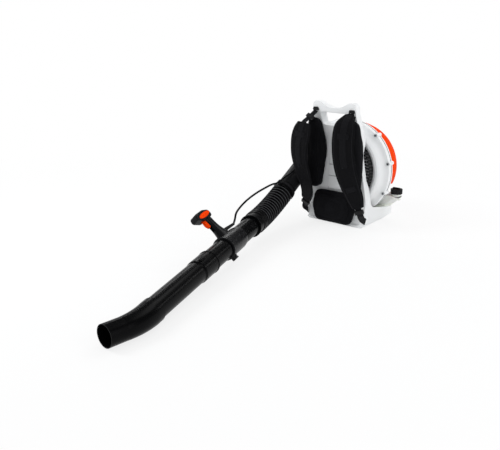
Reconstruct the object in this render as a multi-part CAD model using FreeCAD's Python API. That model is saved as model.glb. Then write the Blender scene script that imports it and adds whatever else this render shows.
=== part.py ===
import FreeCAD, Part
import math
import os
from FreeCAD import Placement, Rotation, Vector

# Backpack leaf blower, in millimetres. +Z is up, the floor is z = 0.
# -Y is the side that the operator's back rests on, and -X is the operator's right.
# The origin is on the floor, under the front edge of the base.

os.makedirs("parts", exist_ok=True)

X = Vector(1, 0, 0)
Y = Vector(0, 1, 0)
Z = Vector(0, 0, 1)

# Backplate
wall = 4.0
plate_depth = 40.0
base_length = 304.0
base_height = 26.0
base_half_width = 134.0
base_toe = 6.0
toe_height = 8.0
hip_half_width = 143.0
hip_height = 112.0
waist_half_width = 108.0
waist_height = 290.0
waist_depth = 26.0
waist_low = 196.0
waist_high = 310.0
waist_ease = 36.0
shoulder_half_width = 103.0
horn_half_width = 99.0
horn_height = 512.0
shoulder_height = horn_height - 110
bar_height = horn_height - 24
horn_lean = 40.0
lean_start = horn_height - 162
grip_half_width = 60.0
grip_top = bar_height - 19
grip_bottom = grip_top - 53
rear_half_width = 112.0
gusset_height = 84.0
gusset_radius = 50.0
panel_half_width = 38.0
panel_rise = 7.0

# Pads and harness
pad_depth = 46.0
pad_lean = 18.0
pad_bottom = 146.0
pad_top = horn_height - 66
pad_outer = 128.0
pad_inner = 48.0
lumbar_depth = 40.0
lumbar_bottom = 12.0
lumbar_top = 138.0
lumbar_half_width = 94.0
strap_thickness = 14.0
webbing_width = 26.0
webbing_thickness = 2.4
pad_gap = 0.4
left_strap_twist = 20.0
right_strap_twist = 8.0
hook_x = 84.0
hook_z = horn_height - 38

# Fan housing
fan_x = -8.0
fan_z = 224.0
seam_radius = 204.0
seam_y = 103.0
housing_front = 58.0
housing_back = 150.0
housing_wall = 3.0
buffer_front = 30.0
buffer_back = 46.0
intake_radius = 104.0
grille_radius = 146.0
grille_front = 42.0
slot_pitch = 13.0
slot_height = 6.5
ear_radius = 8.0
ear_count = 7
ear_spread = 108.0
ear_turn = 12.0
ear_depth = 26.0
screw_radius = 2.5
fan_radius = 98.0
blade_count = 12
shaft_radius = 8.0

# Air path
elbow_radius = 40.0
elbow_wall = 3.0
elbow_bend = 62.0
hose_valley = 41.0
hose_crest = 45.5
hose_bore = 38.2
rib_count = 13
hose_length = 230.0
hose_cuff_length = 34.0
tube_radius = 36.8
tube_wall = 2.0
slip = 0.4

# Rest pose of the hose and wand
hose_end = Vector(-111.1, -386.6, 81.5)
wand_direction = Vector(0.285, -0.957, -0.0515).normalize()
elbow_yaw = 7.0
elbow_pitch = 24.5
handle_roll = 48.0
nozzle_roll = 33.0

# Stations along the wand, from the lower end of the ribbed hose
cuff_end = 72.0
swivel_start = 34.0
swivel_end = 512.0
clamp_start = 190.0
clamp_end = 312.0
socket_start = 430.0
socket_end = 522.0
blower_end = 806.0
nozzle_start = 790.0
bend_start = 816.0
bend_radius = 290.0
bend_angle = 21.0
mouth_length = 58.0
mouth_radius = 33.0
handle_station = 256.0
grip_height = 132.0
head_half_width = 18.0
inlay_half_length = 28.0
inlay_half_height = 11.0
inlay_tilt = 9.0
trigger_pivot = Vector(handle_station + 24, 0, grip_height - 5)
lever_pivot = Vector(handle_station - 14, -head_half_width, grip_height + 4)

# Engine
engine_y = 190.0
crankcase_radius = 42.0
crank_bearing_radius = 16.0
running_gap = 0.05
barrel_radius = 26.0
fin_width = 92.0
fin_depth = 66.0
fin_thickness = 2.5
fin_pitch = 9.0
fin_count = 8
starter_front = 228.0
starter_back = 272.0
starter_radius = 74.0
pulley_radius = 44.0
rope_radius = 2.0
shroud_front = seam_y + 10
shroud_back = 262.0
shroud_wall = 3.0
shroud_bottom = fan_z - 60
filter_x = -96.0
filter_front = 168.0
filter_back = 250.0
filter_bottom = fan_z + 28
filter_top = fan_z + 136
filter_depth = 50.0
filter_stud_y = (filter_front + filter_back) / 2
filter_stud_z = (filter_bottom + filter_top) / 2
choke_pivot = Vector(filter_x - 4 - slip, filter_front + 18, filter_bottom - 16)
primer_y = filter_back - 24
primer_z = filter_bottom - 16
cylinder_foot = 44.0
port_reach = 52.0
rope_y = 256.0
rope_z = fan_z - pulley_radius
rope_exit = fan_x - math.sqrt(starter_radius ** 2 - pulley_radius ** 2)
grip_face = rope_exit - 13 - slip

# Fuel tank
tank_front = 162.0
tank_back = 290.0
tank_bottom = base_height
tank_top = 112.0
tank_wall = 3.0
tank_side = 118.0
spout_bottom = 63.0
spout_foot = 158.0
spout_half_width = 31.0
neck_x = 180.0
neck_y = 194.0
neck_radius = 20.0
neck_top = 132.0
cap_radius = 25.0
cap_height = 20.0

# Throttle cable
cable_radius = 3.3
cable_level = fan_z + 106


def cylinder(radius, length, base, axis):
    return Part.makeCylinder(radius, length, base, axis)


def tube(outer, inner, length, base, axis):
    return cylinder(outer, length, base, axis).cut(cylinder(inner, length, base, axis))


def box(low, high):
    size = high - low
    return Part.makeBox(size.x, size.y, size.z, low)


def fuse_all(shapes):
    return shapes[0].multiFuse(shapes[1:]).removeSplitter()


def lofted(wires, ruled):
    """Solid through closed wires, turned outward whichever way the wires run."""
    solid = Part.makeLoft(wires, True, ruled)
    if solid.Volume < 0:
        solid.reverse()
    return solid


def outline(corners):
    """Closed wire through (point, radius) corners, with tangent arcs at the rounded ones."""
    cuts = []
    for index, (point, radius) in enumerate(corners):
        before = (corners[index - 1][0] - point).normalize()
        after = (corners[(index + 1) % len(corners)][0] - point).normalize()
        half_angle = before.getAngle(after) / 2
        reach = radius / math.tan(half_angle)
        inward = (before + after).normalize()
        middle = point + inward * (radius / math.sin(half_angle) - radius)
        cuts.append((point + before * reach, middle, point + after * reach, radius))
    edges = []
    for index, (start, middle, end, radius) in enumerate(cuts):
        if radius > 0:
            edges.append(Part.Arc(start, middle, end).toShape())
        following = cuts[(index + 1) % len(cuts)][0]
        if end.distanceToPoint(following) > 1e-6:
            edges.append(Part.LineSegment(end, following).toShape())
    return Part.Wire(edges)


def extruded(corners, direction):
    return Part.Face(outline(corners)).extrude(direction)


def mirrored_corners(half):
    """Corners of a figure that is the same on both sides of the X = 0 plane."""
    other = [(Vector(-point.x, point.y, point.z), radius) for point, radius in reversed(half)]
    return half + other


def revolved(points, origin, axis, across):
    """Ring or disc whose (along, radius) profile turns about the axis through origin."""
    corners = [origin + axis * along + across * radius for along, radius in points]
    face = Part.Face(Part.makePolygon(corners + corners[:1]))
    return face.revolve(origin, axis, 360)


def fan_ring(points):
    """Revolved about the fan axis, from (y, radius) points."""
    return revolved(points, Vector(fan_x, 0, fan_z), Y, X)


def on_fan_circle(radius, degrees, y):
    angle = math.radians(degrees)
    return Vector(fan_x + radius * math.cos(angle), y, fan_z + radius * math.sin(angle))


def save(name, shape):
    solid = shape
    if shape.ShapeType == "Compound" and len(shape.Solids) == 1:
        solid = shape.Solids[0]
    solid.exportStep("parts/" + name + ".step")


# Rest frames of the hose and the wand

def unit_from_yaw_pitch(yaw, pitch):
    yaw_angle = math.radians(yaw)
    pitch_angle = math.radians(pitch)
    level = math.cos(pitch_angle)
    return Vector(math.sin(yaw_angle) * level, -math.cos(yaw_angle) * level, -math.sin(pitch_angle))


elbow_direction = unit_from_yaw_pitch(elbow_yaw, elbow_pitch)
hose_turn = elbow_direction.getAngle(wand_direction)
hose_radius = hose_length / hose_turn
hose_chord = 2 * hose_radius * math.sin(hose_turn / 2)
hose_start = hose_end - (elbow_direction + wand_direction).normalize() * hose_chord
hose_normal = elbow_direction.cross(wand_direction).normalize()
hose_centre = hose_start + hose_normal.cross(elbow_direction) * hose_radius

flat_side = wand_direction.cross(Z).normalize()
flat_up = flat_side.cross(wand_direction)
roll = math.radians(handle_roll)
wand_up = flat_up * math.cos(roll) + flat_side * math.sin(roll)
wand_left = wand_up.cross(wand_direction)
wand = Placement(FreeCAD.Matrix(
    wand_direction.x, wand_left.x, wand_up.x, hose_end.x,
    wand_direction.y, wand_left.y, wand_up.y, hose_end.y,
    wand_direction.z, wand_left.z, wand_up.z, hose_end.z,
    0, 0, 0, 1))
nozzle_frame = wand.multiply(Placement(Vector(0, 0, 0), Rotation(X, nozzle_roll)))

housing_plane = seam_y
elbow_corner = hose_start - elbow_direction * ((housing_plane - hose_start.y) / -elbow_direction.y)
outlet_direction = Vector(-1, 0, 0)
elbow_turn = outlet_direction.getAngle(elbow_direction)
elbow_reach = elbow_bend * math.tan(elbow_turn / 2)
outlet_centre = elbow_corner - outlet_direction * elbow_reach
side_x = outlet_centre.x


# Backplate, one moulding with the carry handle and the base

def plate_outline(y):
    half = [
        (Vector(base_half_width, y, 0), 12),
        (Vector(hip_half_width, y, hip_height), 60),
        (Vector(waist_half_width, y, waist_height), 120),
        (Vector(shoulder_half_width, y, shoulder_height), 120),
        (Vector(horn_half_width, y, horn_height), 18),
        (Vector(horn_half_width - 29, y, horn_height), 34),
        (Vector(horn_half_width - 75, y, bar_height), 50),
    ]
    return mirrored_corners(half)


def base_plan(margin):
    half = [
        (Vector(150 - margin, -60, 0), 0),
        (Vector(150 - margin, 0, 0), 0),
        (Vector(rear_half_width - margin, base_length - margin, 0), 22 - margin),
    ]
    return mirrored_corners(half)


def side_corners(x):
    """Side view of the moulding: base, sloping side walls, the plate's waist and the leaning top."""
    return [
        (Vector(x, 0, toe_height + base_toe), 0),
        (Vector(x, -base_toe, toe_height), 0),
        (Vector(x, -base_toe, 0), 0),
        (Vector(x, base_length, 0), 0),
        (Vector(x, base_length, base_height), 6),
        (Vector(x, plate_depth, gusset_height), gusset_radius),
        (Vector(x, plate_depth, waist_low - waist_ease), 30),
        (Vector(x, waist_depth, waist_low), 30),
        (Vector(x, waist_depth, waist_high), 30),
        (Vector(x, plate_depth, waist_high + waist_ease), 30),
        (Vector(x, plate_depth, lean_start + 20), 60),
        (Vector(x, -6, horn_height - 40), 40),
        (Vector(x, -horn_lean + 26, horn_height + 4), 8),
        (Vector(x, -horn_lean - 2, horn_height + 4), 8),
        (Vector(x, -horn_lean, horn_height - 40), 60),
        (Vector(x, 0, lean_start), 90),
    ]


def moulding():
    """Outside of the backplate, before it is hollowed."""
    width = 2 * hip_half_width + 40
    side = extruded(side_corners(-width / 2), X * width)
    front = extruded(plate_outline(-60), Y * (base_length + 80))
    plan = extruded(base_plan(0), Z * (horn_height + 40))
    return side.common(front).common(plan)


def backplate():
    body = moulding()
    inner_front = Part.Face(outline(plate_outline(-60)).makeOffset2D(-wall)).extrude(Y * 500)
    inner_plan = extruded(base_plan(wall), Z * 600)
    deck_start = housing_back + 10
    cavity_corners = [
        (Vector(-300, wall, wall), 6),
        (Vector(-300, base_length, wall), 0),
        (Vector(-300, base_length, base_height - wall), 0),
        (Vector(-300, deck_start, base_height - wall), 0),
        (Vector(-300, deck_start, shoulder_height - 4), 0),
        (Vector(-300, -12, shoulder_height - 4), 0),
        (Vector(-300, wall, lean_start), 0),
    ]
    cavity = extruded(cavity_corners, X * 600).common(inner_front).common(inner_plan)
    tray = box(Vector(-300, deck_start - 1, base_height), Vector(300, base_length + 1, shoulder_height))
    tray = tray.common(inner_plan)
    opening = carry_opening()
    panel = centre_panel()
    bosses = []
    for x, z in buffer_places():
        start = plate_front(z + 15) - wall
        bosses.append(cylinder(15, buffer_front - start, Vector(x, start, z), Y).common(body))
    shell = body.cut(cavity).cut(tray).cut(opening)
    return fuse_all([shell, panel] + bosses)


def carry_opening():
    """Hand hole under the top bar, wider towards the operator."""
    wires = []
    for y, spread in ((-70, 10), (-10, 0), (60, 0)):
        half = [
            (Vector(grip_half_width + spread, y, grip_bottom - spread), 14),
            (Vector(grip_half_width + spread, y, grip_top), 14),
        ]
        wires.append(outline(mirrored_corners(half)))
    return lofted(wires, True)


def centre_panel():
    """Raised middle of the plate between the pads, with two cross grooves."""
    half = [
        (Vector(panel_half_width, -panel_rise, pad_bottom + 6), 10),
        (Vector(panel_half_width - 8, -panel_rise, lean_start - 6), 20),
    ]
    panel = extruded(mirrored_corners(half), Y * (panel_rise + wall / 2))
    for z in (202, 250):
        low = Vector(-panel_half_width, -panel_rise, z)
        groove = box(low, low + Vector(2 * panel_half_width, 2, 2.5))
        panel = panel.cut(groove)
    return panel


def plate_front(z):
    """Y of the plate's front face at a height, where the top leans to the operator."""
    slope = horn_lean / (horn_height - 40 - lean_start)
    return -max(z - lean_start, 0) * slope


def buffer_places():
    """Centres of the four rubber buffers, (x, z), around the intake."""
    places = []
    for x_step, z_step in ((115, -122), (-115, -122), (70, 155), (-70, 155)):
        places.append((fan_x + x_step, fan_z + z_step))
    return places


def av_buffers():
    length = buffer_back - buffer_front
    buffers = []
    for x, z in buffer_places():
        disc = cylinder(13, length, Vector(x, buffer_front, z), Y)
        groove = tube(16, 10.5, length / 3, Vector(x, buffer_front + length / 3, z), Y)
        buffers.append(disc.cut(groove))
    return Part.makeCompound(buffers)


# Soft pads and straps

def cushion(corners, depth, lean):
    """Crowned pad on the plate, drawn in at the back; lean is how much deeper its top is."""
    low = min(point.z for point, radius in corners)
    high = max(point.z for point, radius in corners)
    centre = Vector(0, 0, 0)
    for point, radius in corners:
        centre = centre + point * (1.0 / len(corners))
    wires = []
    for share, scale in ((0.0, 0.93), (0.25, 1.0), (0.7, 0.97), (1.0, 0.8)):
        scaled = []
        for point, radius in corners:
            place = centre + (point - centre) * scale
            rise = (place.z - low) / (high - low)
            scaled.append((place - Y * ((depth + lean * rise) * share), radius * scale))
        wires.append(outline(scaled))
    return lofted(wires, True)


def back_pad(side):
    """D-shaped pad: straight outer edge along the plate, bowed inner edge."""
    middle = (pad_bottom + pad_top) / 2
    corners = [
        (Vector(side * (pad_outer - 4), -pad_gap, pad_bottom), 26),
        (Vector(side * pad_outer, -pad_gap, middle), 300),
        (Vector(side * (pad_outer - 12), -pad_gap, pad_top), 24),
        (Vector(side * (pad_inner + 14), -pad_gap, pad_top - 4), 26),
        (Vector(side * (pad_inner - 4), -pad_gap, middle), 240),
        (Vector(side * (pad_inner + 18), -pad_gap, pad_bottom + 4), 26),
    ]
    pad = cushion(corners, pad_depth, pad_lean)
    return pad.cut(moulding().translate(Y * -pad_gap))


def lumbar_pad():
    half = [
        (Vector(lumbar_half_width - 18, -pad_gap, lumbar_bottom), 26),
        (Vector(lumbar_half_width, -pad_gap, (lumbar_bottom + lumbar_top) / 2), 60),
        (Vector(lumbar_half_width - 16, -pad_gap, lumbar_top), 24),
    ]
    pad = cushion(mirrored_corners(half), lumbar_depth, 0)
    return pad.cut(moulding().translate(Y * -pad_gap))


def strap_stations(side):
    """Middle line of a strap from the top, with its width at each place.

    The left strap stands over its pad and flares to the hip; the right one has swung outward,
    and comes in again below, clear of the air pipe.
    """
    if side > 0:
        line = [
            (86, -54, horn_height - 44, 42),
            (86, -80, horn_height - 62, 62),
            (86, -96, horn_height - 84, 80),
            (87, -106, horn_height - 122, 84),
            (90, -110, horn_height - 171, 84),
            (95, -106, 293, 84),
            (103, -95, 240, 82),
            (117, -80, 187, 76),
            (131, -66, 140, 66),
            (141, -56, 100, 46),
        ]
    else:
        line = [
            (-106, -94, horn_height - 84, 64),
            (-109, -102, horn_height - 110, 88),
            (-112, -108, horn_height - 140, 96),
            (-116, -110, horn_height - 171, 92),
            (-117, -108, 293, 86),
            (-106, -104, 240, 78),
            (-84, -106, 187, 68),
            (-88, -86, 140, 60),
            (-106, -66, 100, 44),
        ]
    return [(Vector(x, y, z), width) for x, y, z, width in line]


def strap_across(side):
    """Width direction of a strap, turned a little outward from the wearer."""
    twist = math.radians(left_strap_twist if side > 0 else right_strap_twist)
    return Vector(math.cos(twist), side * math.sin(twist), 0)


def band_section(centre, along, across, width, thickness):
    """Cross-section of a padded band: crowned front and back, rounded edges."""
    normal = along.cross(across).normalize()
    half = across * (width / 2)
    skin = normal * (thickness / 2)
    edge = skin * 0.35
    left_front = centre - half - edge
    right_front = centre + half - edge
    right_back = centre + half + edge
    left_back = centre - half + edge
    front = Part.Arc(left_front, centre - skin, right_front).toShape()
    right = Part.Arc(right_front, centre + half + across * 1.5, right_back).toShape()
    back = Part.Arc(right_back, centre + skin, left_back).toShape()
    left = Part.Arc(left_back, centre - half - across * 1.5, left_front).toShape()
    return Part.Wire([front, right, back, left])


def shoulder_strap(side):
    """Padded strap, crowned on its faces."""
    stations = strap_stations(side)
    across = strap_across(side)
    wires = []
    for index, (centre, width) in enumerate(stations):
        before = stations[max(index - 1, 0)][0]
        after = stations[min(index + 1, len(stations) - 1)][0]
        along = (after - before).normalize()
        flat = (across - along * across.dot(along)).normalize()
        wires.append(band_section(centre, along, flat, width, strap_thickness))
    return lofted(wires, True)


def webbing(places):
    """Flat strip through (point, width direction) places, bent at each of them."""
    wires = []
    for index, (point, width_direction) in enumerate(places):
        before = places[max(index - 1, 0)][0]
        after = places[min(index + 1, len(places) - 1)][0]
        along = (after - before).normalize()
        across = (width_direction - along * width_direction.dot(along)).normalize()
        normal = along.cross(across) * (webbing_thickness / 2)
        half = across * (webbing_width / 2)
        corners = [point - half - normal, point + half - normal, point + half + normal, point - half + normal]
        wires.append(Part.makePolygon(corners + corners[:1]))
    return lofted(wires, True)


def strap_axis(side, index):
    """Direction of a strap at one of its ends, and the strip's width direction there."""
    stations = strap_stations(side)
    first, second = (0, 1) if index == 0 else (-2, -1)
    along = (stations[second][0] - stations[first][0]).normalize()
    across = strap_across(side)
    return along, (across - along * across.dot(along)).normalize()


def upper_anchor(side):
    return Vector(side * (hook_x - 3), -horn_lean - 5.4, hook_z - 1.8)


def upper_webbing(side):
    """Strip from the hook on the horn to the top of the strap."""
    along, across = strap_axis(side, 0)
    top = strap_stations(side)[0][0]
    strip = webbing([(upper_anchor(side), across), (top - along * 3, across), (top - along * 0.3, across)])
    return strip.cut(strap_hook(side)).cut(moulding())


def lower_webbing(side):
    """Strip from the lower end of the strap to the side of the base."""
    along, across = strap_axis(side, -1)
    end = strap_stations(side)[-1][0]
    anchor_x = base_half_width + 4.4
    return webbing([
        (end + along * 0.3, across),
        (end + along * 34, across),
        (end + along * 36, across),
        (Vector(side * (anchor_x + 1), -16, 44), Vector(side * 0.5, 0.6, 0.6)),
        (Vector(side * anchor_x, 14, 26), Vector(0, 0.5, 0.86)),
    ])


def keeper(centre, along, across):
    """Rectangular loop round a webbing strip."""
    frame = box(Vector(-18, -6, -8), Vector(18, 6, 8))
    frame = frame.cut(box(Vector(-15, -3, -9), Vector(15, 3, 9)))
    normal = along.cross(across).normalize()
    frame.Placement = Placement(FreeCAD.Matrix(
        across.x, normal.x, along.x, centre.x,
        across.y, normal.y, along.y, centre.y,
        across.z, normal.z, along.z, centre.z,
        0, 0, 0, 1))
    return frame


def lower_keeper(side):
    """Keeper round the lower webbing, just under the padded strap."""
    along, across = strap_axis(side, -1)
    return keeper(strap_stations(side)[-1][0] + along * 17, along, across)


def upper_keeper():
    """Keeper halfway along the longer upper webbing of the right strap."""
    anchor = upper_anchor(-1)
    top = strap_stations(-1)[0][0]
    along = (top - anchor).normalize()
    across = strap_axis(-1, 0)[1]
    across = (across - along * across.dot(along)).normalize()
    return keeper((anchor + top) * 0.5, along, across)


def strap_hook(side):
    """Anchor on the horn that holds the upper webbing."""
    corners = [
        (Vector(side * (hook_x - 14), -horn_lean - 7, hook_z), 3),
        (Vector(side * (hook_x + 14), -horn_lean - 7, hook_z), 3),
        (Vector(side * (hook_x + 10), -horn_lean - 7, hook_z + 13), 4),
        (Vector(side * (hook_x - 10), -horn_lean - 7, hook_z + 13), 4),
    ]
    return extruded(corners, Y * 9).cut(moulding())


# Fan housing, grille and fan

def housing_half(profile, cavity, y_low, y_high):
    low = Vector(side_x, y_low, fan_z - 2 * seam_radius)
    high = Vector(2 * seam_radius, y_high, fan_z + 2 * seam_radius)
    limit = box(low, high)
    inner_limit = box(low + Vector(housing_wall, -5, 0), high + Y * 5)
    body = fan_ring(profile).common(limit)
    return body.cut(fan_ring(cavity).common(inner_limit))


def ear_angles():
    return [ear_turn - ear_spread + 2 * ear_spread * index / (ear_count - 1) for index in range(ear_count)]


def outlet_port(radius):
    start = Vector(side_x - 1, outlet_centre.y, outlet_centre.z)
    return cylinder(radius, 20, start, X)


def with_ears(shell, y_low, y_high, hole):
    places = [on_fan_circle(seam_radius, angle, y_low) for angle in ear_angles()]
    shell = fuse_all([shell] + [cylinder(ear_radius, y_high - y_low, place, Y) for place in places])
    for place in places:
        shell = shell.cut(cylinder(hole, y_high - y_low, place, Y))
    return shell


def fan_housing_front():
    """Inner half of the fan housing: intake mouth, rounded volute and the rim."""
    band = seam_radius - grille_radius
    profile = [
        (housing_front, intake_radius), (housing_front, grille_radius + 0.07 * band),
        (housing_front - 8, grille_radius + 0.12 * band), (housing_front - 11.5, grille_radius + 0.24 * band),
        (housing_front - 10.5, grille_radius + 0.38 * band), (housing_front - 4, grille_radius + 0.50 * band),
        (housing_front + 8, grille_radius + 0.59 * band), (housing_front + 16, grille_radius + 0.69 * band),
        (housing_front + 20, grille_radius + 0.81 * band), (housing_front + 24, seam_radius),
        (seam_y, seam_radius), (seam_y, intake_radius),
    ]
    inside = grille_radius + 0.45 * band
    cavity = [
        (housing_front + housing_wall, 0), (housing_front + housing_wall, inside),
        (housing_front + 12, inside + 0.10 * band), (housing_front + 23, inside + 0.26 * band),
        (housing_front + 31, seam_radius - housing_wall),
        (seam_y, seam_radius - housing_wall), (seam_y, 0),
    ]
    shell = housing_half(profile, cavity, housing_front - 20, seam_y)
    shell = with_ears(shell, seam_y - ear_depth, seam_y, screw_radius + 0.3)
    inside_space = fan_ring(cavity)
    seats = []
    for x, z in buffer_places():
        seat = cylinder(15, housing_front + 5 - buffer_back, Vector(x, buffer_back, z), Y)
        seats.append(seat.cut(inside_space))
    return fuse_all([shell] + seats).cut(outlet_port(elbow_radius - elbow_wall))


def fan_housing_rear():
    """Outer half of the fan housing, with the shaft bore in its back wall."""
    rim = seam_radius
    step = shroud_front
    body = rim - 21
    profile = [
        (seam_y, 0), (seam_y, rim), (step, rim), (step, body), (housing_back - 8, body - 3),
        (housing_back, body - 12), (housing_back, 0),
    ]
    cavity = [
        (seam_y, 0), (seam_y, body - housing_wall), (housing_back - 10, body - housing_wall - 3),
        (housing_back - housing_wall, body - 16), (housing_back - housing_wall, 0),
    ]
    shell = housing_half(profile, cavity, seam_y, housing_back)
    shell = with_ears(shell, seam_y, shroud_front, screw_radius + 0.3)
    shell = shell.cut(outlet_port(elbow_radius - elbow_wall))
    return shell.cut(cylinder(crank_bearing_radius, 20, Vector(fan_x, housing_back - 15, fan_z), Y))


def housing_screws():
    screws = []
    for angle in ear_angles():
        seat = on_fan_circle(seam_radius, angle, seam_y - ear_depth)
        head = cylinder(5.5, 4, seat - Y * 4, Y)
        shank = cylinder(screw_radius, ear_depth + 9, seat, Y)
        screws.append(head.fuse(shank).removeSplitter())
    return Part.makeCompound(screws)


def intake_grille():
    """Shallow dish over the intake, with level slots across its whole face."""
    back = housing_front - slip
    profile = [(grille_front, 0), (grille_front, grille_radius - 8), (grille_front + 8, grille_radius),
               (back, grille_radius), (back, 0)]
    cavity = [(grille_front + 3, 0), (grille_front + 3, grille_radius - 9),
              (grille_front + 9, grille_radius - 3), (back + 2, grille_radius - 3), (back + 2, 0)]
    dish = housing_half(profile, cavity, grille_front, back)
    face_radius = grille_radius - 10
    count = int((face_radius - slot_height) / slot_pitch)
    slots = []
    for step in range(-count, count + 1):
        height = step * slot_pitch
        reach = math.sqrt(face_radius ** 2 - height ** 2)
        left = max(-reach, side_x - fan_x + 8)
        for low_x, high_x in ((left, -5), (5, reach)):
            low = Vector(fan_x + low_x, grille_front - 1, fan_z + height - slot_height / 2)
            high = Vector(fan_x + high_x, grille_front + 4, fan_z + height + slot_height / 2)
            slots.append(box(low, high))
    return dish.cut(Part.makeCompound(slots))


def fan_wheel():
    """Fan with backward-curved blades between a back disc and the hub."""
    back = housing_back - housing_wall - 6
    disc = tube(fan_radius, shaft_radius, 3, Vector(fan_x, back - 3, fan_z), Y)
    hub = tube(22, shaft_radius, 34, Vector(fan_x, back - 34, fan_z), Y)
    front = back - 62
    blades = []
    for index in range(blade_count):
        turn = 360.0 * index / blade_count
        root = Vector(20, 0, 0)
        middle = Vector(62, 0, 10)
        tip = Vector(fan_radius - 1, 0, 34)
        curve = Part.Arc(root, middle, tip).toShape()
        sheet = curve.extrude(Y * 58)
        blade = sheet.makeOffsetShape(2.2, 0.01, fill=True)
        blade.Placement = Placement(Vector(fan_x, front + 3, fan_z), Rotation(Y, turn))
        blades.append(blade)
    return fuse_all([disc, hub] + blades).cut(
        cylinder(shaft_radius, 100, Vector(fan_x, front - 10, fan_z), Y))


def crankshaft():
    """Shaft through the crankcase, from the fan to the starter."""
    front = housing_back - housing_wall - 46
    main = cylinder(shaft_radius, starter_front + 14 - front, Vector(fan_x, front, fan_z), Y)
    nut = cylinder(13, 8, Vector(fan_x, front - 2, fan_z), Y)
    return main.fuse(nut).removeSplitter()


def crank_bearings():
    """Ball bearings in the housing wall and in the crankcase, drawn as plain races."""
    bore = shaft_radius + running_gap
    front = tube(crank_bearing_radius, bore, 9, Vector(fan_x, housing_back - 6, fan_z), Y)
    rear = tube(crank_bearing_radius, bore, 9, Vector(fan_x, starter_front - 9, fan_z), Y)
    return Part.makeCompound([front, rear])


# Engine

def crankcase():
    """Case on the rear of the housing, with seats for the bearing and the cylinder."""
    start = housing_back
    end = starter_front
    body = revolved([(start, 0), (start, crankcase_radius + 1), (start + 6, crankcase_radius + 1),
                     (start + 8, crankcase_radius), (end - 6, crankcase_radius), (end, crankcase_radius - 8),
                     (end, 0)], Vector(fan_x, 0, fan_z), Y, X)
    low = Vector(fan_x - 30, engine_y - 26, fan_z)
    foot = box(low, low + Vector(60, 52, cylinder_foot))
    body = body.fuse(foot)
    body = body.cut(cylinder(shaft_radius + 2, 200, Vector(fan_x, start - 5, fan_z), Y))
    seat = cylinder(crank_bearing_radius, 9, Vector(fan_x, end - 9, fan_z), Y)
    front_seat = cylinder(crank_bearing_radius, 3, Vector(fan_x, start, fan_z), Y)
    return body.cut(seat).cut(front_seat).removeSplitter()


def engine_cylinder():
    """Air-cooled cylinder: barrel, cooling fins, and ports on both sides."""
    base = fan_z + cylinder_foot
    height = fin_pitch * fin_count + 10
    barrel = cylinder(barrel_radius, height, Vector(fan_x, engine_y, base), Z)
    fins = []
    for index in range(fin_count):
        z = base + 8 + fin_pitch * index
        share = 1 - 0.03 * index
        half_x = fin_width / 2 * share
        half_y = fin_depth / 2 * share
        corners = [
            (Vector(fan_x - half_x, engine_y - half_y, z), 12),
            (Vector(fan_x + half_x, engine_y - half_y, z), 12),
            (Vector(fan_x + half_x, engine_y + half_y, z), 12),
            (Vector(fan_x - half_x, engine_y + half_y, z), 12),
        ]
        fins.append(extruded(corners, Z * fin_thickness))
    low = Vector(fan_x - port_reach, engine_y - 16, base + 22)
    port = box(low, low + Vector(2 * port_reach, 32, 26))
    return fuse_all([barrel, port] + fins)


def muffler():
    """Pressed box on the exhaust port, with a tail pipe to the rear."""
    low = Vector(fan_x + port_reach, engine_y - 30, fan_z + 52)
    high = Vector(fan_x + port_reach + 48, engine_y + 30, fan_z + 112)
    can = box(low, high)
    can = can.makeFillet(9, [edge for edge in can.Edges if edge.Length > 55])
    pipe_start = Vector(high.x - 20, high.y - 2, low.z + 18)
    pipe = tube(8, 6.5, 22, pipe_start, Y)
    return can.fuse(pipe).removeSplitter()


def spark_plug():
    top = fan_z + cylinder_foot + fin_pitch * fin_count + 10
    points = [(0, 0), (0, 7), (6, 7), (6, 10), (12, 10), (12, 5.5), (26, 4.5), (26, 2.5), (32, 2.5), (32, 0)]
    return revolved([(top + z, r) for z, r in points], Vector(fan_x, engine_y, 0), Z, X)


def plug_boot():
    """Rubber boot over the end of the plug."""
    top = fan_z + cylinder_foot + fin_pitch * fin_count + 10
    skirt = cylinder(10, 20, Vector(fan_x, engine_y, top + 18), Z)
    arm = cylinder(7, 16, Vector(fan_x, engine_y, top + 30), Y)
    return skirt.fuse(arm).cut(cylinder(5.5, 14.2, Vector(fan_x, engine_y, top + 18), Z)).removeSplitter()


def ignition_module():
    """Ignition unit bolted to the side of the crankcase."""
    block = box(Vector(fan_x + crankcase_radius - 12, engine_y - 18, fan_z - 24),
                Vector(fan_x + crankcase_radius + 24, engine_y + 12, fan_z + 18))
    block = block.makeFillet(3, [edge for edge in block.Edges if edge.Length > 25])
    return block.cut(cylinder(crankcase_radius, 100, Vector(fan_x, engine_y - 50, fan_z), Y))


def carburetor():
    """Body between the intake port and the filter, with its bowl and the cable bracket."""
    low = Vector(filter_x, engine_y - 17, fan_z + 60)
    high = Vector(fan_x - port_reach, engine_y + 17, fan_z + 100)
    body = box(low, high)
    bowl = cylinder(13, 12, Vector((low.x + high.x) / 2, engine_y, low.z - 12), Z)
    bracket = box(Vector(low.x + 6, engine_y - 8, high.z), Vector(high.x - 4, engine_y + 4, high.z + 12))
    return fuse_all([body, bowl, bracket])


def filter_base():
    """Back plate of the air filter, with a collar for the carburettor's throat."""
    corners = [
        (Vector(filter_x, filter_front, filter_bottom - 32), 12),
        (Vector(filter_x, filter_back, filter_bottom - 32), 12),
        (Vector(filter_x, filter_back, filter_top), 16),
        (Vector(filter_x, filter_front, filter_top), 16),
    ]
    plate = extruded(corners, X * -4)
    stud = cylinder(3, filter_depth - 6, Vector(filter_x - 4, filter_stud_y, filter_stud_z), X * -1)
    throat = cylinder(11, 20, Vector(filter_x + 10, engine_y, fan_z + 80), X * -1)
    pin = cylinder(2.5, 10, choke_pivot + X * 4, X * -1)
    socket = tube(13.5, 11 + slip, 8, Vector(filter_x - 4, primer_y, primer_z), X * -1)
    return fuse_all([plate, stud, pin, socket]).cut(throat)


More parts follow.
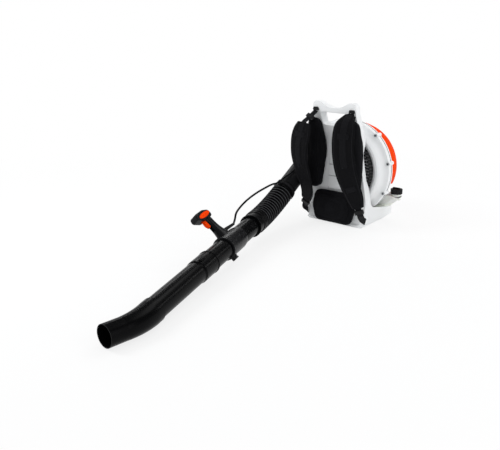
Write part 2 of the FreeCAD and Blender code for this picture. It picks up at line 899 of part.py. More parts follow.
def air_filter():
    low = Vector(filter_x - 32, filter_front + 13, filter_bottom + 13)
    high = Vector(filter_x - 4, filter_back - 13, filter_top - 13)
    block = box(low, high)
    stud = cylinder(3.4, 60, Vector(filter_x + 5, filter_stud_y, filter_stud_z), X * -1)
    return block.cut(stud)


def filter_block(margin, depth):
    """Outer or inner form of the filter cover, drawn in towards its face."""
    wires = []
    start = filter_x - 4 - slip
    for x, inset in ((start, 0), (start - depth * 0.6, 3), (start - depth, 12)):
        corners = [
            (Vector(x, filter_front + margin + inset, filter_bottom + margin + inset), 14 - margin),
            (Vector(x, filter_back - margin - inset, filter_bottom + margin + inset), 14 - margin),
            (Vector(x, filter_back - margin - inset, filter_top - margin - inset), 20 - margin),
            (Vector(x, filter_front + margin + inset, filter_top - margin - inset), 20 - margin),
        ]
        wires.append(outline(corners))
    return lofted(wires, True)


def filter_cover():
    shell = filter_block(0, filter_depth - 4 - slip).cut(filter_block(2.5, filter_depth - 7))
    hole = cylinder(3.4, 60, Vector(filter_x, filter_stud_y, filter_stud_z), X * -1)
    return shell.cut(hole)


def cover_knob():
    """Twist knob on the filter cover, threaded on the stud."""
    face = filter_x - filter_depth - slip
    body = cylinder(15, 10, Vector(face, filter_stud_y, filter_stud_z), X * -1)
    wing = box(Vector(face - 18, filter_stud_y - 3, filter_stud_z - 14),
               Vector(face - 9, filter_stud_y + 3, filter_stud_z + 14))
    bore = cylinder(3.05, 8, Vector(face + 1, filter_stud_y, filter_stud_z), X * -1)
    return body.fuse(wing).cut(bore).removeSplitter()


def choke_lever():
    """Cold-start lever on the filter's back plate."""
    disc = cylinder(8, 4, choke_pivot, X * -1)
    arm = box(choke_pivot + Vector(-4, -3.5, -32), choke_pivot + Vector(0, 3.5, 0))
    bore = cylinder(2.5 + running_gap, 12, choke_pivot + X * 4, X * -1)
    return disc.fuse(arm).cut(bore).removeSplitter()


def primer_bulb():
    """Priming bulb beside the choke lever, pressed towards the plate."""
    face = filter_x - 4 - 4
    points = [(face, 0), (face, 11), (face - 3, 11), (face - 8, 8.5), (face - 11, 4), (face - 12, 0)]
    return revolved(points, Vector(0, primer_y, primer_z), X, Z)


def engine_shroud():
    """Cover over the engine: a dome round the fan axis, open below and at the filter's side."""
    steps = [(0, 15), (0.215, 16), (0.423, 19), (0.638, 30), (0.826, 51), (0.946, 79)]
    depth = shroud_back - shroud_front
    outer = [(shroud_front + depth * share, seam_radius - drop) for share, drop in steps]
    outer += [(shroud_back, starter_radius + 18), (shroud_back, starter_radius + 1.5)]
    end = shroud_back - shroud_wall
    inner = [(end, starter_radius + 1.5), (end, starter_radius + 16)]
    for share, drop in reversed(steps):
        inner.append((shroud_front + (depth - shroud_wall) * share, seam_radius - shroud_wall - drop))
    dome = fan_ring(outer + inner)
    dome = dome.common(box(Vector(filter_x + 0.5, 0, shroud_bottom), Vector(400, 400, 600)))
    notch = box(Vector(filter_x - 1, engine_y + 30, shroud_bottom - 1), Vector(fan_x - 30, 400, fan_z - 3))
    dome = dome.cut(notch)
    for index in range(5):
        x = fan_x - 58 + index * 29
        dome = dome.cut(box(Vector(x - 5, 205, fan_z + 108), Vector(x + 5, 300, fan_z + 158)))
    tail = cylinder(12, 60, Vector(fan_x + port_reach + 32, engine_y + 28, fan_z + 70), Y)
    return dome.cut(tail)


# Starter

def starter_cover():
    """Recoil starter case on the rear of the engine, with the pulley post inside."""
    rim = starter_radius
    shell = fan_ring([(starter_front + 10, rim - 3), (starter_front + 10, rim), (starter_back - 8, rim),
                      (starter_back, rim - 12), (starter_back, 0), (starter_back - 3, 0),
                      (starter_back - 3, rim - 14), (starter_back - 9, rim - 3)])
    post = cylinder(6, 18, Vector(fan_x, starter_back - 20, fan_z), Y)
    flange = fan_ring([(shroud_back, rim - 1), (shroud_back, rim + 8), (shroud_back + 2.5, rim + 8),
                       (shroud_back + 2.5, rim - 1)])
    bush = cylinder(6, 17, Vector(rope_exit + 4, rope_y, rope_z), X * -1)
    cover = fuse_all([shell, post, flange, bush])
    cover = cover.cut(cylinder(rope_radius + 0.6, 40, Vector(rope_exit + 20, rope_y, rope_z), X * -1))
    for index in range(6):
        angle = math.radians(60 * index + 30)
        centre = Vector(fan_x + 44 * math.cos(angle), starter_back - 5, fan_z + 44 * math.sin(angle))
        cover = cover.cut(cylinder(7, 10, centre, Y))
    return cover


def starter_pulley():
    """Rope pulley on the post in the starter cover."""
    rim = pulley_radius + 2
    groove = pulley_radius - 4
    profile = [(0, 6 + running_gap), (0, rim), (2, rim), (2.5, groove), (7.5, groove), (8, rim), (10, rim),
               (10, 6 + running_gap)]
    return fan_ring([(rope_y - 5 + along, radius) for along, radius in profile])


def recoil_spring():
    """Flat recoil spring in its case, drawn as one ring."""
    return tube(38, 14, 6, Vector(fan_x, 262, fan_z), Y)


def starter_cup():
    """Cup on the shaft that the pulley's pawls drive."""
    front = starter_front + 4
    ring = fan_ring([(front, shaft_radius), (front, 30), (front + 10, 30), (front + 10, 27), (front + 3, 27),
                     (front + 3, shaft_radius)])
    return ring


def starter_rope():
    """Cord from the pulley's groove out to the grip."""
    start = Vector(fan_x, rope_y, rope_z)
    return cylinder(rope_radius, start.x - grip_face + 10, start, X * -1)


def starter_grip():
    """Handle on the starter rope, at rest against its bush."""
    stem = cylinder(7, 14, Vector(grip_face, rope_y, rope_z), X * -1)
    bar = cylinder(9, 76, Vector(grip_face - 20, rope_y, rope_z - 38), Z)
    bar = bar.makeFillet(6, [edge for edge in bar.Edges if edge.Curve.TypeId == "Part::GeomCircle"])
    bore = cylinder(rope_radius, 11, Vector(grip_face + 1, rope_y, rope_z), X * -1)
    return stem.fuse(bar).cut(bore).removeSplitter()


# Fuel tank

def tank_body(margin):
    """Tank under the engine, between the side walls of the base."""
    corners = [
        (Vector(-64 + margin, tank_front + margin, tank_bottom + margin), 18),
        (Vector(tank_side - margin, tank_front + margin, tank_bottom + margin), 22),
        (Vector(tank_side - 16 - margin, tank_back - margin, tank_bottom + margin), 30),
        (Vector(-64 + margin, tank_back - margin, tank_bottom + margin), 22),
    ]
    return extruded(corners, Z * (tank_top - tank_bottom - 2 * margin))


def tank_spout(margin):
    """Filler shoulder that widens upward, out over the side wall of the base."""
    wires = []
    for z, reach in ((spout_bottom + margin, spout_foot - margin), (tank_top - margin, neck_x + 30 - margin)):
        wires.append(outline([
            (Vector(60, neck_y - spout_half_width + margin, z), 8),
            (Vector(reach, neck_y - spout_half_width + margin, z), 24),
            (Vector(reach, neck_y + spout_half_width - margin, z), 24),
            (Vector(60, neck_y + spout_half_width - margin, z), 8),
        ]))
    return lofted(wires, True)


def level_edges(shape):
    return [edge for edge in shape.Edges if abs(edge.BoundBox.ZMax - edge.BoundBox.ZMin) < 1]


def fuel_tank():
    body = tank_body(0)
    body = body.makeFillet(9, level_edges(body))
    spout = tank_spout(0)
    spout = spout.makeFillet(7, level_edges(spout))
    foot = Vector(neck_x, neck_y, tank_top - 20)
    neck = cylinder(neck_radius, neck_top - foot.z, foot, Z)
    mouth = cylinder(neck_radius - 4, 80, foot, Z)
    hollow = tank_body(tank_wall).fuse(tank_spout(tank_wall))
    return fuse_all([body, spout, neck]).cut(hollow).cut(mouth).removeSplitter()


def fuel_cap():
    """Screw cap over the neck, with grip ribs round its rim."""
    base = Vector(neck_x, neck_y, neck_top - cap_height + 6)
    cap = cylinder(cap_radius, cap_height, base, Z)
    cap = cap.cut(cylinder(neck_radius + slip, cap_height - 6 + slip, base, Z))
    ribs = 10
    for index in range(ribs):
        angle = 2 * math.pi * index / ribs
        place = base + Vector(math.cos(angle), math.sin(angle), 0) * (cap_radius + 1.5)
        cap = cap.cut(cylinder(4, cap_height + 2, place - Z, Z))
    key = box(base + Vector(-16, -3, cap_height - 1), base + Vector(16, 3, cap_height + 6))
    return cap.fuse(key).removeSplitter()


# Air path from the housing to the hose

def ring_face(outer, centre, normal):
    circle = Part.makeCircle(outer, centre, normal)
    return Part.Face(Part.Wire([circle]))


def elbow_solid(radius):
    """Bend and straight leg of one radius, from the housing side to the hose cuff."""
    turn_axis = outlet_direction.cross(elbow_direction).normalize()
    arc_centre = outlet_centre + turn_axis.cross(outlet_direction) * elbow_bend
    bend = ring_face(radius, outlet_centre, outlet_direction)
    bend = bend.revolve(arc_centre, turn_axis, math.degrees(elbow_turn))
    leg_start = elbow_corner + elbow_direction * elbow_reach
    leg_length = leg_start.distanceToPoint(hose_start)
    leg = cylinder(radius, leg_length, leg_start, elbow_direction)
    return fuse_all([bend, leg])


def outlet_elbow():
    return elbow_solid(elbow_radius).cut(elbow_solid(elbow_radius - elbow_wall))


def clamp_ring(inner, width, centre, axis, lug_direction):
    """Band clamp with a pair of screw lugs."""
    start = centre - axis * (width / 2)
    band = tube(inner + 2.5, inner, width, start, axis)
    side = axis.cross(lug_direction)
    lug = cylinder(4.5, 16, centre + lug_direction * (inner + 5) - side * 8, side)
    return band.fuse(lug).cut(cylinder(inner, width + 12, start - axis * 6, axis)).removeSplitter()


def hose_clamp():
    """Clamp round the hose's upper cuff on the elbow."""
    centre = hose_start - elbow_direction * (hose_cuff_length * 0.6)
    side = elbow_direction.cross(Z).normalize()
    return clamp_ring(elbow_radius + 4, 12, centre, elbow_direction, side.cross(elbow_direction) * -1)


# Throttle cable

def elbow_point(back, degrees, radius):
    """Place beside the straight leg of the elbow: distance up from the hose, angle and radius."""
    side = elbow_direction.cross(Z).normalize()
    up = side.cross(elbow_direction)
    angle = math.radians(degrees)
    return hose_start - elbow_direction * back + (up * math.cos(angle) - side * math.sin(angle)) * radius


def cable_route():
    """Vertices of the cable from the carburettor's bracket to the boot on the handle."""
    bracket = Vector(filter_x + 16, engine_y - 8, cable_level)
    upper = [
        bracket,
        bracket - Y * 23,
        Vector(filter_x - 28, engine_y - 34, cable_level),
        Vector(filter_x - 54, engine_y - 58, cable_level - 8),
        Vector(filter_x - 62, engine_y - 100, cable_level - 20),
        elbow_point(236, 28, 62),
        elbow_point(200, 34, 56),
        elbow_point(160, 32, 51),
        elbow_point(120, 20, 49),
        elbow_point(80, 12, 49),
        elbow_point(48, 4, 52),
        elbow_point(22, 1, 56),
        elbow_point(-12, 0, 62),
    ]
    lower = [Vector(-165, 73, 67), Vector(-112, 61, 75), Vector(-52, 47, 82), Vector(8, 32, 84),
             Vector(64, 24, 80), Vector(116, 20, 72), Vector(150, 19, 55), Vector(178, 18, 46)]
    return upper + [wand.multVec(point) for point in lower]


def corner_radius(before, point, after):
    """Largest allowed bend at a vertex: 0.45 of the shorter run over the tangent of half the turn."""
    turn = (point - before).getAngle(after - point)
    shorter = min(before.distanceToPoint(point), point.distanceToPoint(after))
    return 0.45 * shorter / math.tan(turn / 2), 0.45 * shorter


def cord(points, radius):
    """Round cord along straight runs joined by tangent arcs; prints its bend radii."""
    edges = []
    start = points[0]
    radii = []
    length = 0
    for before, point, after in zip(points, points[1:], points[2:]):
        bend, reach = corner_radius(before, point, after)
        arrive = point + (before - point).normalize() * reach
        leave = point + (after - point).normalize() * reach
        inward = ((before - point).normalize() + (after - point).normalize()).normalize()
        half_turn = (point - before).getAngle(after - point) / 2
        middle = point + inward * (bend / math.cos(half_turn) - bend)
        edges.append(Part.LineSegment(start, arrive).toShape())
        edges.append(Part.Arc(arrive, middle, leave).toShape())
        radii.append(round(bend, 1))
        start = leave
    edges.append(Part.LineSegment(start, points[-1]).toShape())
    path = Part.Wire(edges)
    section = Part.Wire([Part.makeCircle(radius, points[0], points[1] - points[0])])
    solid = path.makePipeShell([section], True, False)
    wanted = path.Length * math.pi * radius ** 2
    print("cord bend radii", radii, "length", round(path.Length, 1))
    print("volume share", round(solid.Volume / wanted, 4))
    return solid


def cable_segments():
    """The cable in four lengths, each ending in the middle of a straight run."""
    route = cable_route()
    pieces = []
    start = 0
    head = []
    for cut in (11, 15, 18):
        middle = (route[cut] + route[cut + 1]) * 0.5
        pieces.append(cord(head + route[start:cut + 1] + [middle], cable_radius))
        head = [middle]
        start = cut + 1
    pieces.append(cord(head + route[start:], cable_radius))
    return pieces


def cable_clip():
    """Clip on the hose's upper cuff that holds the cable clear of the hose."""
    route = cable_route()
    before, after = route[11:13]
    centre = (before + after) * 0.5
    axis = (after - before).normalize()
    foot = elbow_point(5, 0, elbow_radius + 4.1)
    direction = (centre - foot).normalize()
    ring = tube(cable_radius + 3.5, cable_radius + 1.0, 10, centre - axis * 5, axis)
    length = centre.distanceToPoint(foot) - cable_radius - 1.5
    stalk = cylinder(4, length, foot, direction)
    return ring.fuse(stalk).removeSplitter()


# Ribbed hose

def hose_point(turned):
    """Centre and direction of the hose after it has turned by an angle in radians."""
    spin = Rotation(hose_normal, math.degrees(turned))
    centre = hose_centre + spin.multVec(hose_start - hose_centre)
    return centre, spin.multVec(elbow_direction)


def hose_circle(turned, radius):
    centre, direction = hose_point(turned)
    circle = Part.Circle(centre, direction, radius)
    circle.XAxis = hose_normal
    return Part.Wire([circle.toShape()])


def pleated_hose():
    """Ribs of four circles each round a plain bore, bent on one arc."""
    pitch = hose_turn / rib_count
    outer = []
    bore = []
    for rib in range(rib_count):
        start = rib * pitch
        outer.append(hose_circle(start, hose_valley))
        outer.append(hose_circle(start + 0.26 * pitch, hose_crest))
        outer.append(hose_circle(start + 0.60 * pitch, hose_crest))
        outer.append(hose_circle(start + 0.86 * pitch, hose_valley))
        if rib % 3 == 0:
            bore.append(hose_circle(start, hose_bore))
    outer.append(hose_circle(hose_turn, hose_valley))
    bore.append(hose_circle(hose_turn, hose_bore))
    return lofted(outer, True).cut(lofted(bore, True))


def hose_upper_cuff():
    """Smooth end of the hose, pushed over the elbow."""
    start = hose_start - elbow_direction * hose_cuff_length
    return tube(elbow_radius + 4, elbow_radius + slip / 4, hose_cuff_length - slip, start, elbow_direction)


# Wand, built along +X with the handle towards +Z

def along_wand(points):
    return revolved(points, Vector(0, 0, 0), X, Z)


def placed(shape, frame):
    shape.Placement = frame.multiply(shape.Placement)
    return shape


def wand_sleeve():
    """Lower cuff of the hose with its last two ribs, in which the swivel tube turns."""
    bore = tube_radius + slip
    pitch = hose_length / rib_count
    profile = [(slip, bore), (slip, hose_valley)]
    for rib in range(2):
        start = rib * pitch
        profile.append((start + 0.26 * pitch, hose_crest))
        profile.append((start + 0.60 * pitch, hose_crest))
        profile.append((start + 0.86 * pitch, hose_valley))
    lip = hose_valley + 3.5
    profile += [(2 * pitch, hose_valley + 1), (cuff_end - 6, hose_valley + 0.5), (cuff_end - 5, lip),
                (cuff_end, lip), (cuff_end, bore)]
    return along_wand(profile)


def swivel_tube():
    inner = tube_radius - tube_wall
    pipe = along_wand([(swivel_start, inner), (swivel_start, tube_radius), (swivel_end, tube_radius),
                       (swivel_end, inner)])
    stop = along_wand([(cuff_end + slip, tube_radius - 1), (cuff_end + slip, tube_radius + 3),
                       (cuff_end + 5, tube_radius + 3), (cuff_end + 5, tube_radius - 1)])
    return pipe.fuse(stop).removeSplitter()


def blower_tube():
    """Straight tube with a bayonet socket over the swivel tube and a step at its end."""
    bore = tube_radius + slip
    outer = bore + 2.6
    inner = tube_radius - tube_wall
    return along_wand([
        (socket_start, bore), (socket_start, outer + 1.6), (socket_start + 5, outer + 1.6),
        (socket_start + 6, outer), (socket_end - 4, outer), (socket_end, outer - 1.5),
        (socket_end + 6, tube_radius), (blower_end, tube_radius - 0.8), (blower_end, inner - 0.8),
        (swivel_end + 3, inner), (swivel_end + 3, bore),
    ])


def bayonet_lugs():
    """Two raised lugs that lock the socket, on either side."""
    lugs = []
    for side in (1, -1):
        lug = box(Vector(socket_end - 34, -6, tube_radius + 2.5), Vector(socket_end - 12, 6, tube_radius + 6))
        lug.Placement = Placement(Vector(0, 0, 0), Rotation(X, 62 * side))
        lugs.append(lug)
    return lugs


def nozzle_core(radius, mouth, start):
    """Solid of the curved nozzle: straight start, bend and flared mouth."""
    straight = cylinder(radius, bend_start - start, Vector(start, 0, 0), X)
    pivot = Vector(bend_start, 0, bend_radius)
    steps = 4
    wires = []
    for index in range(steps + 1):
        turn = bend_angle * index / steps
        share = radius + (mouth - radius) * index / steps
        spin = Rotation(Y, -turn)
        centre = pivot + spin.multVec(Vector(bend_start, 0, 0) - pivot)
        circle = Part.Circle(centre, spin.multVec(X), share)
        circle.XAxis = Y
        wires.append(Part.Wire([circle.toShape()]))
    bend = lofted(wires, False)
    tip = cylinder(mouth, mouth_length, centre, spin.multVec(X))
    return fuse_all([straight, bend, tip])


def curved_nozzle():
    bore = tube_radius + slip
    outer = nozzle_core(bore + 2.2, mouth_radius + 1.5, nozzle_start)
    inner = nozzle_core(tube_radius - tube_wall, mouth_radius - 1.2, blower_end + 2)
    socket = cylinder(bore, blower_end + 2 - nozzle_start, Vector(nozzle_start, 0, 0), X)
    return outer.cut(inner).cut(socket)


# Control handle

def handle_clamp():
    """Saddle round the tube that carries the handle, with a clamp screw below."""
    bore = tube_radius + slip / 4
    outer = tube_radius + 4.5
    collar = along_wand([
        (clamp_start, bore), (clamp_start, outer - 2), (clamp_start + 14, outer),
        (clamp_end - 5, outer), (clamp_end - 5, outer + 2), (clamp_end, outer + 2), (clamp_end, bore),
    ])
    lug = box(Vector(clamp_end - 22, -9, -outer - 13), Vector(clamp_end - 4, 9, -outer + 3))
    slit = box(Vector(clamp_start - 1, -1, -outer - 14), Vector(clamp_end + 1, 1, -bore + 4))
    bolt_hole = cylinder(2.7, 30, Vector(clamp_end - 13, -15, -outer - 7), Y)
    collar = collar.fuse(lug).cut(cylinder(bore, clamp_end, Vector(0, 0, 0), X))
    return collar.cut(slit).cut(bolt_hole).removeSplitter()


def clamp_bolt():
    outer = tube_radius + 4.5
    place = Vector(clamp_end - 13, -9, -outer - 7)
    shank = cylinder(2.5, 22, place, Y)
    head = cylinder(5, 4, place - Y * 4, Y)
    return head.fuse(shank).removeSplitter()


def grip_section(x, z, length, width, lean):
    """Oval section of the handle, its long axis along the tube."""
    ellipse = Part.Ellipse(Vector(x, 0, z), length / 2, width / 2)
    wire = Part.Wire([ellipse.toShape()])
    wire.rotate(Vector(x, 0, z), Y, lean)
    return wire


def control_handle():
    """Upright grip on the saddle, with a head that reaches forward over the trigger."""
    root = tube_radius + 4.5
    sections = [
        (handle_station - 4, root - 8, 74, 44, 0),
        (handle_station - 2, root + 12, 54, 36, 0),
        (handle_station, root + 34, 42, 31, 0),
        (handle_station + 2, grip_height - 22, 40, 31, 6),
        (handle_station + 4, grip_height - 4, 44, 34, 10),
    ]
    grip = lofted([grip_section(*section) for section in sections], False)
    head = control_head()
    trigger_slot = box(Vector(handle_station + 10, -6, grip_height - 62),
                       Vector(handle_station + 44, 6, grip_height + 4))
    handle = fuse_all([grip, head]).cut(trigger_slot)
    handle = handle.cut(cylinder(root, clamp_end, Vector(0, 0, 0), X))
    handle = handle.cut(cylinder(2.0, 24, trigger_pivot - Y * 12, Y)).cut(boot_cone())
    stub = cylinder(2.5, 5, lever_pivot + Y, Y * -1)
    return handle.fuse(stub)


def control_head():
    corners = [
        (Vector(handle_station - 22, 0, grip_height - 12), 10),
        (Vector(handle_station + 34, 0, grip_height - 13), 30),
        (Vector(handle_station + 68, 0, grip_height + 4), 9),
        (Vector(handle_station + 60, 0, grip_height + 24), 13),
        (Vector(handle_station + 8, 0, grip_height + 25), 40),
        (Vector(handle_station - 26, 0, grip_height + 14), 13),
    ]
    side = [(point - Y * head_half_width, radius) for point, radius in corners]
    core = extruded(side, Y * head_half_width * 2)
    edges = [edge for edge in core.Edges if abs(edge.CenterOfMass.y) > head_half_width - 1]
    return core.makeFillet(5, edges)


def head_inlay():
    """Oval coloured plate on the side of the head that faces outward from the operator."""
    centre = Vector(handle_station + 25, 0, grip_height + 6)
    plates = []
    for side in (1, -1):
        ellipse = Part.Ellipse(Vector(0, 0, 0), inlay_half_length, inlay_half_height)
        plate = Part.Face(Part.Wire([ellipse.toShape()])).extrude(Z * 2.2)
        turn = Rotation(Y, -inlay_tilt).multiply(Rotation(X, -90 * side))
        plate.Placement = Placement(centre + Y * (head_half_width * side), turn)
        plates.append(plate)
    return Part.makeCompound(plates)


def throttle_trigger():
    """Finger trigger under the head, hung on its pin."""
    corners = [
        (trigger_pivot + Vector(-6, -5, 6), 4),
        (trigger_pivot + Vector(8, -5, 6), 4),
        (trigger_pivot + Vector(13, -5, -24), 8),
        (trigger_pivot + Vector(6, -5, -38), 5),
        (trigger_pivot + Vector(-2, -5, -36), 4),
    ]
    body = extruded(corners, Y * 10)
    return body.cut(cylinder(2.0 + running_gap, 12, trigger_pivot - Y * 6, Y))


def trigger_pin():
    return cylinder(2.0, 24, trigger_pivot - Y * 12, Y)


def setting_lever():
    """Throttle setting lever on the side of the head."""
    start = lever_pivot - Y * (slip + 3.5)
    disc = cylinder(8, 3.5, start, Y)
    arm = box(start + Vector(-28, 0, -3.5), start + Vector(0, 3.5, 3.5))
    bore = cylinder(2.5 + running_gap, 10, lever_pivot + Y, Y * -1)
    return disc.fuse(arm).cut(bore).removeSplitter()


def cable_boot():
    """Strain relief where the throttle cable enters the handle."""
    route = cable_route()
    end = wand.inverse().multVec(route[-1])
    before = wand.inverse().multVec(route[-2])
    axis = (end - before).normalize()
    return boot_cone().cut(cylinder(cable_radius, 20, end - axis * 15, axis))


def boot_cone():
    """Outside of the boot: from its wide root in the handle to the cable."""
    root = Vector(handle_station - 22, 0, tube_radius + 15)
    tip = Vector(178, 18, 46)
    axis = (tip - root).normalize()
    return Part.makeCone(7.5, 4.8, root.distanceToPoint(tip) + 2, root, axis)


# Build

save("backplate", backplate())
save("av_buffers", av_buffers())
save("back_pad_left", back_pad(1))
save("back_pad_right", back_pad(-1))
save("lumbar_pad", lumbar_pad())
save("shoulder_strap_left", shoulder_strap(1))
save("shoulder_strap_right", shoulder_strap(-1))
webbing = [strip(side) for side in (1, -1) for strip in (upper_webbing, lower_webbing)]
save("strap_webbing", Part.makeCompound(webbing))
save("strap_buckles", Part.makeCompound([lower_keeper(1), lower_keeper(-1), upper_keeper()]))
save("strap_hooks", Part.makeCompound([strap_hook(side) for side in (1, -1)]))
save("fan_housing_front", fan_housing_front())
save("fan_housing_rear", fan_housing_rear())
save("housing_screws", housing_screws())
save("intake_grille", intake_grille())
save("fan_wheel", fan_wheel())
save("crankshaft", crankshaft())
save("crank_bearings", crank_bearings())
save("crankcase", crankcase())
save("engine_cylinder", engine_cylinder())
save("muffler", muffler())
save("spark_plug", spark_plug())
save("plug_boot", plug_boot())
save("ignition_module", ignition_module())
save("carburetor", carburetor())
save("filter_base", filter_base())
save("air_filter", air_filter())
save("filter_cover", filter_cover())
save("cover_knob", cover_knob())
save("choke_lever", choke_lever())
save("primer_bulb", primer_bulb())
save("engine_shroud", engine_shroud())
save("starter_cover", starter_cover())
save("starter_pulley", starter_pulley())
save("recoil_spring", recoil_spring())
save("starter_cup", starter_cup())
save("starter_rope", starter_rope())
save("starter_grip", starter_grip())
save("fuel_tank", fuel_tank())
save("fuel_cap", fuel_cap())
save("outlet_elbow", outlet_elbow())
save("pleated_hose", pleated_hose())
save("hose_upper_cuff", hose_upper_cuff())
save("hose_clamp", hose_clamp())
save("wand_sleeve", placed(wand_sleeve(), wand))
save("swivel_tube", placed(swivel_tube(), wand))
save("blower_tube", placed(fuse_all([blower_tube()] + bayonet_lugs()), wand))
save("curved_nozzle", placed(curved_nozzle(), nozzle_frame))
save("handle_clamp", placed(handle_clamp(), wand))
save("clamp_bolt", placed(clamp_bolt(), wand))
save("control_handle", placed(control_handle(), wand))
save("head_inlay", placed(head_inlay(), wand))
save("throttle_trigger", placed(throttle_trigger(), wand))
save("trigger_pin", placed(trigger_pin(), wand))
save("setting_lever", placed(setting_lever(), wand))
save("cable_boot", placed(cable_boot(), wand))
for number, piece in enumerate(cable_segments(), 1):
    save("throttle_cable_" + str(number), piece)
save("cable_clip", cable_clip())
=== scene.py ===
import math

import bmesh
import bpy
import numpy as np
from mathutils import Matrix, Vector, noise


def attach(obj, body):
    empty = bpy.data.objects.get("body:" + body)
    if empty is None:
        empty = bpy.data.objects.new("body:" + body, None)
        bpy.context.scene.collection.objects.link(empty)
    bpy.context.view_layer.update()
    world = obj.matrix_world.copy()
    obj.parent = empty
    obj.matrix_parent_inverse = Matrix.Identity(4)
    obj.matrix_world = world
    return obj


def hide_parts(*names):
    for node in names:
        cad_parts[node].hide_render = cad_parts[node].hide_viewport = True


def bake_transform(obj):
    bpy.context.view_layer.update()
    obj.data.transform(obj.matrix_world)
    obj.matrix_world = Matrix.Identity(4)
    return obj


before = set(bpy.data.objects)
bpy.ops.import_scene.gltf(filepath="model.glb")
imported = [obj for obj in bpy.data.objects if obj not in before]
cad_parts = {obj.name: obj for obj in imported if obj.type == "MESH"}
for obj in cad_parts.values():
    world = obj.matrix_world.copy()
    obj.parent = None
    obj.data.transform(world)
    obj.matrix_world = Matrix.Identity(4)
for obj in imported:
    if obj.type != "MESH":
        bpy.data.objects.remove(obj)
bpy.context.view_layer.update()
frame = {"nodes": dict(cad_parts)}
nodes = frame["nodes"]

Y = Vector((0, 1, 0))
Z = Vector((0, 0, 1))
MM = 0.001


# Places repeated from the model, in millimetres

PAD_GAP = 0.4
PAD_BOTTOM = 146.0
PAD_TOP = 446.0
PAD_OUTER = 128.0
PAD_INNER = 48.0
PAD_DEPTH = 46.0
PAD_LEAN = 18.0
LUMBAR_BOTTOM = 6.0
LUMBAR_TOP = 140.0
LUMBAR_HALF_WIDTH = 102.0
LUMBAR_DEPTH = 40.0
LEAN_START = 350.0
HORN_LEAN = 40.0
HORN_HEIGHT = 512.0
STRAP_THICKNESS = 14.0
STRAP_TWIST = {1: math.radians(20), -1: math.radians(8)}
STRAP_LINE = {
    1: [(86, -54, 468, 42), (86, -80, 450, 62), (86, -96, 428, 80), (87, -106, 390, 84),
        (90, -110, 341, 84), (95, -106, 293, 84), (103, -95, 240, 82), (117, -80, 187, 76),
        (131, -66, 140, 66), (141, -56, 100, 46)],
    -1: [(-106, -94, 428, 64), (-109, -102, 402, 88), (-112, -108, 372, 96), (-116, -110, 341, 92),
         (-117, -108, 293, 86), (-106, -104, 240, 78), (-84, -106, 187, 68), (-88, -86, 140, 60),
         (-106, -66, 100, 44)],
}
HOOK_X = 84.0
HOOK_Z = 474.0
BASE_HALF_WIDTH = 134.0
FAN_X = -8.0
FAN_Z = 224.0
HOSE_START = Vector((-157.279, -169.628, 135.874))
HOSE_END = Vector((-111.1, -386.6, 81.5))
HOSE_CENTRE = Vector((101.635, -351.177, 600.515))
HOSE_NORMAL = Vector((-0.8806, -0.2827, 0.3802)).normalized()
ELBOW_DIRECTION = Vector((0.1109, -0.9032, -0.4147)).normalized()
HOSE_VALLEY = 41.0
HOSE_CREST = 45.5
HOSE_BORE = 38.2
RIB_COUNT = 13
SEAM_RADIUS = 204.0
SEAM_Y = 103.0
SIDE_X = -121.45
EAR_TURN = 12.0
EAR_STEP = 36.0
EAR_FRONT = 77.0
SCREW_STAND = 4.05
SLOT_PITCH = 13.0
PANEL_BOTTOM = 152.0
PANEL_HALF_WIDTH = 38.0
PANEL_TAPER = 0.04167
GROOVE_HEIGHTS = (202.0, 250.0)
GROOVE_WIDTH = 2.5
LOOP_STAND = 4.4
HOOK_BAR = Vector((-3.0, -5.4, -1.8))
WAND_DIRECTION = Vector((0.285, -0.957, -0.0515)).normalized()
WAND_UP = Vector((-0.7024, -0.2451, 0.6682)).normalized()
WAND_LEFT = Vector((0.6522, 0.1543, 0.7422)).normalized()
CABLE_RADIUS = 3.9
BEND_START = 816.0
BEND_RADIUS = 290.0
BEND_ANGLE = 21.0
NOZZLE_ROLL = 33.0


# Mesh helpers

def add_object(name, data):
    made = bpy.data.objects.new(name, data)
    bpy.context.scene.collection.objects.link(made)
    return made


def set_smooth(mesh, smooth=True):
    for polygon in mesh.polygons:
        polygon.use_smooth = smooth


def mesh_object(name, points, faces, smooth=True, uvs=None):
    """Mesh piece from points in millimetres; uvs is one pair per point, in metres."""
    mesh = bpy.data.meshes.new(name)
    mesh.from_pydata([Vector(p) * MM for p in points], [], faces)
    if uvs is not None:
        layer = mesh.uv_layers.new(name="UVMap")
        for loop in mesh.loops:
            layer.data[loop.index].uv = uvs[loop.vertex_index]
    mesh.validate()
    set_smooth(mesh, smooth)
    return add_object(name, mesh)


def finish_piece(piece, material, body=None, replaced=()):
    piece.data.materials.clear()
    piece.data.materials.append(material)
    if body:
        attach(piece, body)
    if replaced:
        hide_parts(*replaced)
    return piece


def apply_modifiers(piece):
    """Freezes the piece's modifiers into its mesh."""
    depsgraph = bpy.context.evaluated_depsgraph_get()
    made = bpy.data.meshes.new_from_object(piece.evaluated_get(depsgraph))
    piece.modifiers.clear()
    piece.data = made
    set_smooth(made)


def turn_outward(piece):
    bm = bmesh.new()
    bm.from_mesh(piece.data)
    bmesh.ops.recalc_face_normals(bm, faces=bm.faces)
    bm.to_mesh(piece.data)
    bm.free()


def smooth_line(points, count):
    """Catmull-Rom samples through a list of vectors of any length."""
    table = np.array([tuple(p) for p in points], float)
    table = np.vstack([2 * table[0] - table[1], table, 2 * table[-1] - table[-2]])
    spans = len(table) - 3
    samples = []
    for step in range(count):
        place = spans * step / (count - 1)
        span = min(int(place), spans - 1)
        t = place - span
        a, b, c, d = table[span:span + 4]
        samples.append(0.5 * (2 * b + (c - a) * t + (2 * a - 5 * b + 4 * c - d) * t ** 2
                              + (3 * b - a - 3 * c + d) * t ** 3))
    return samples


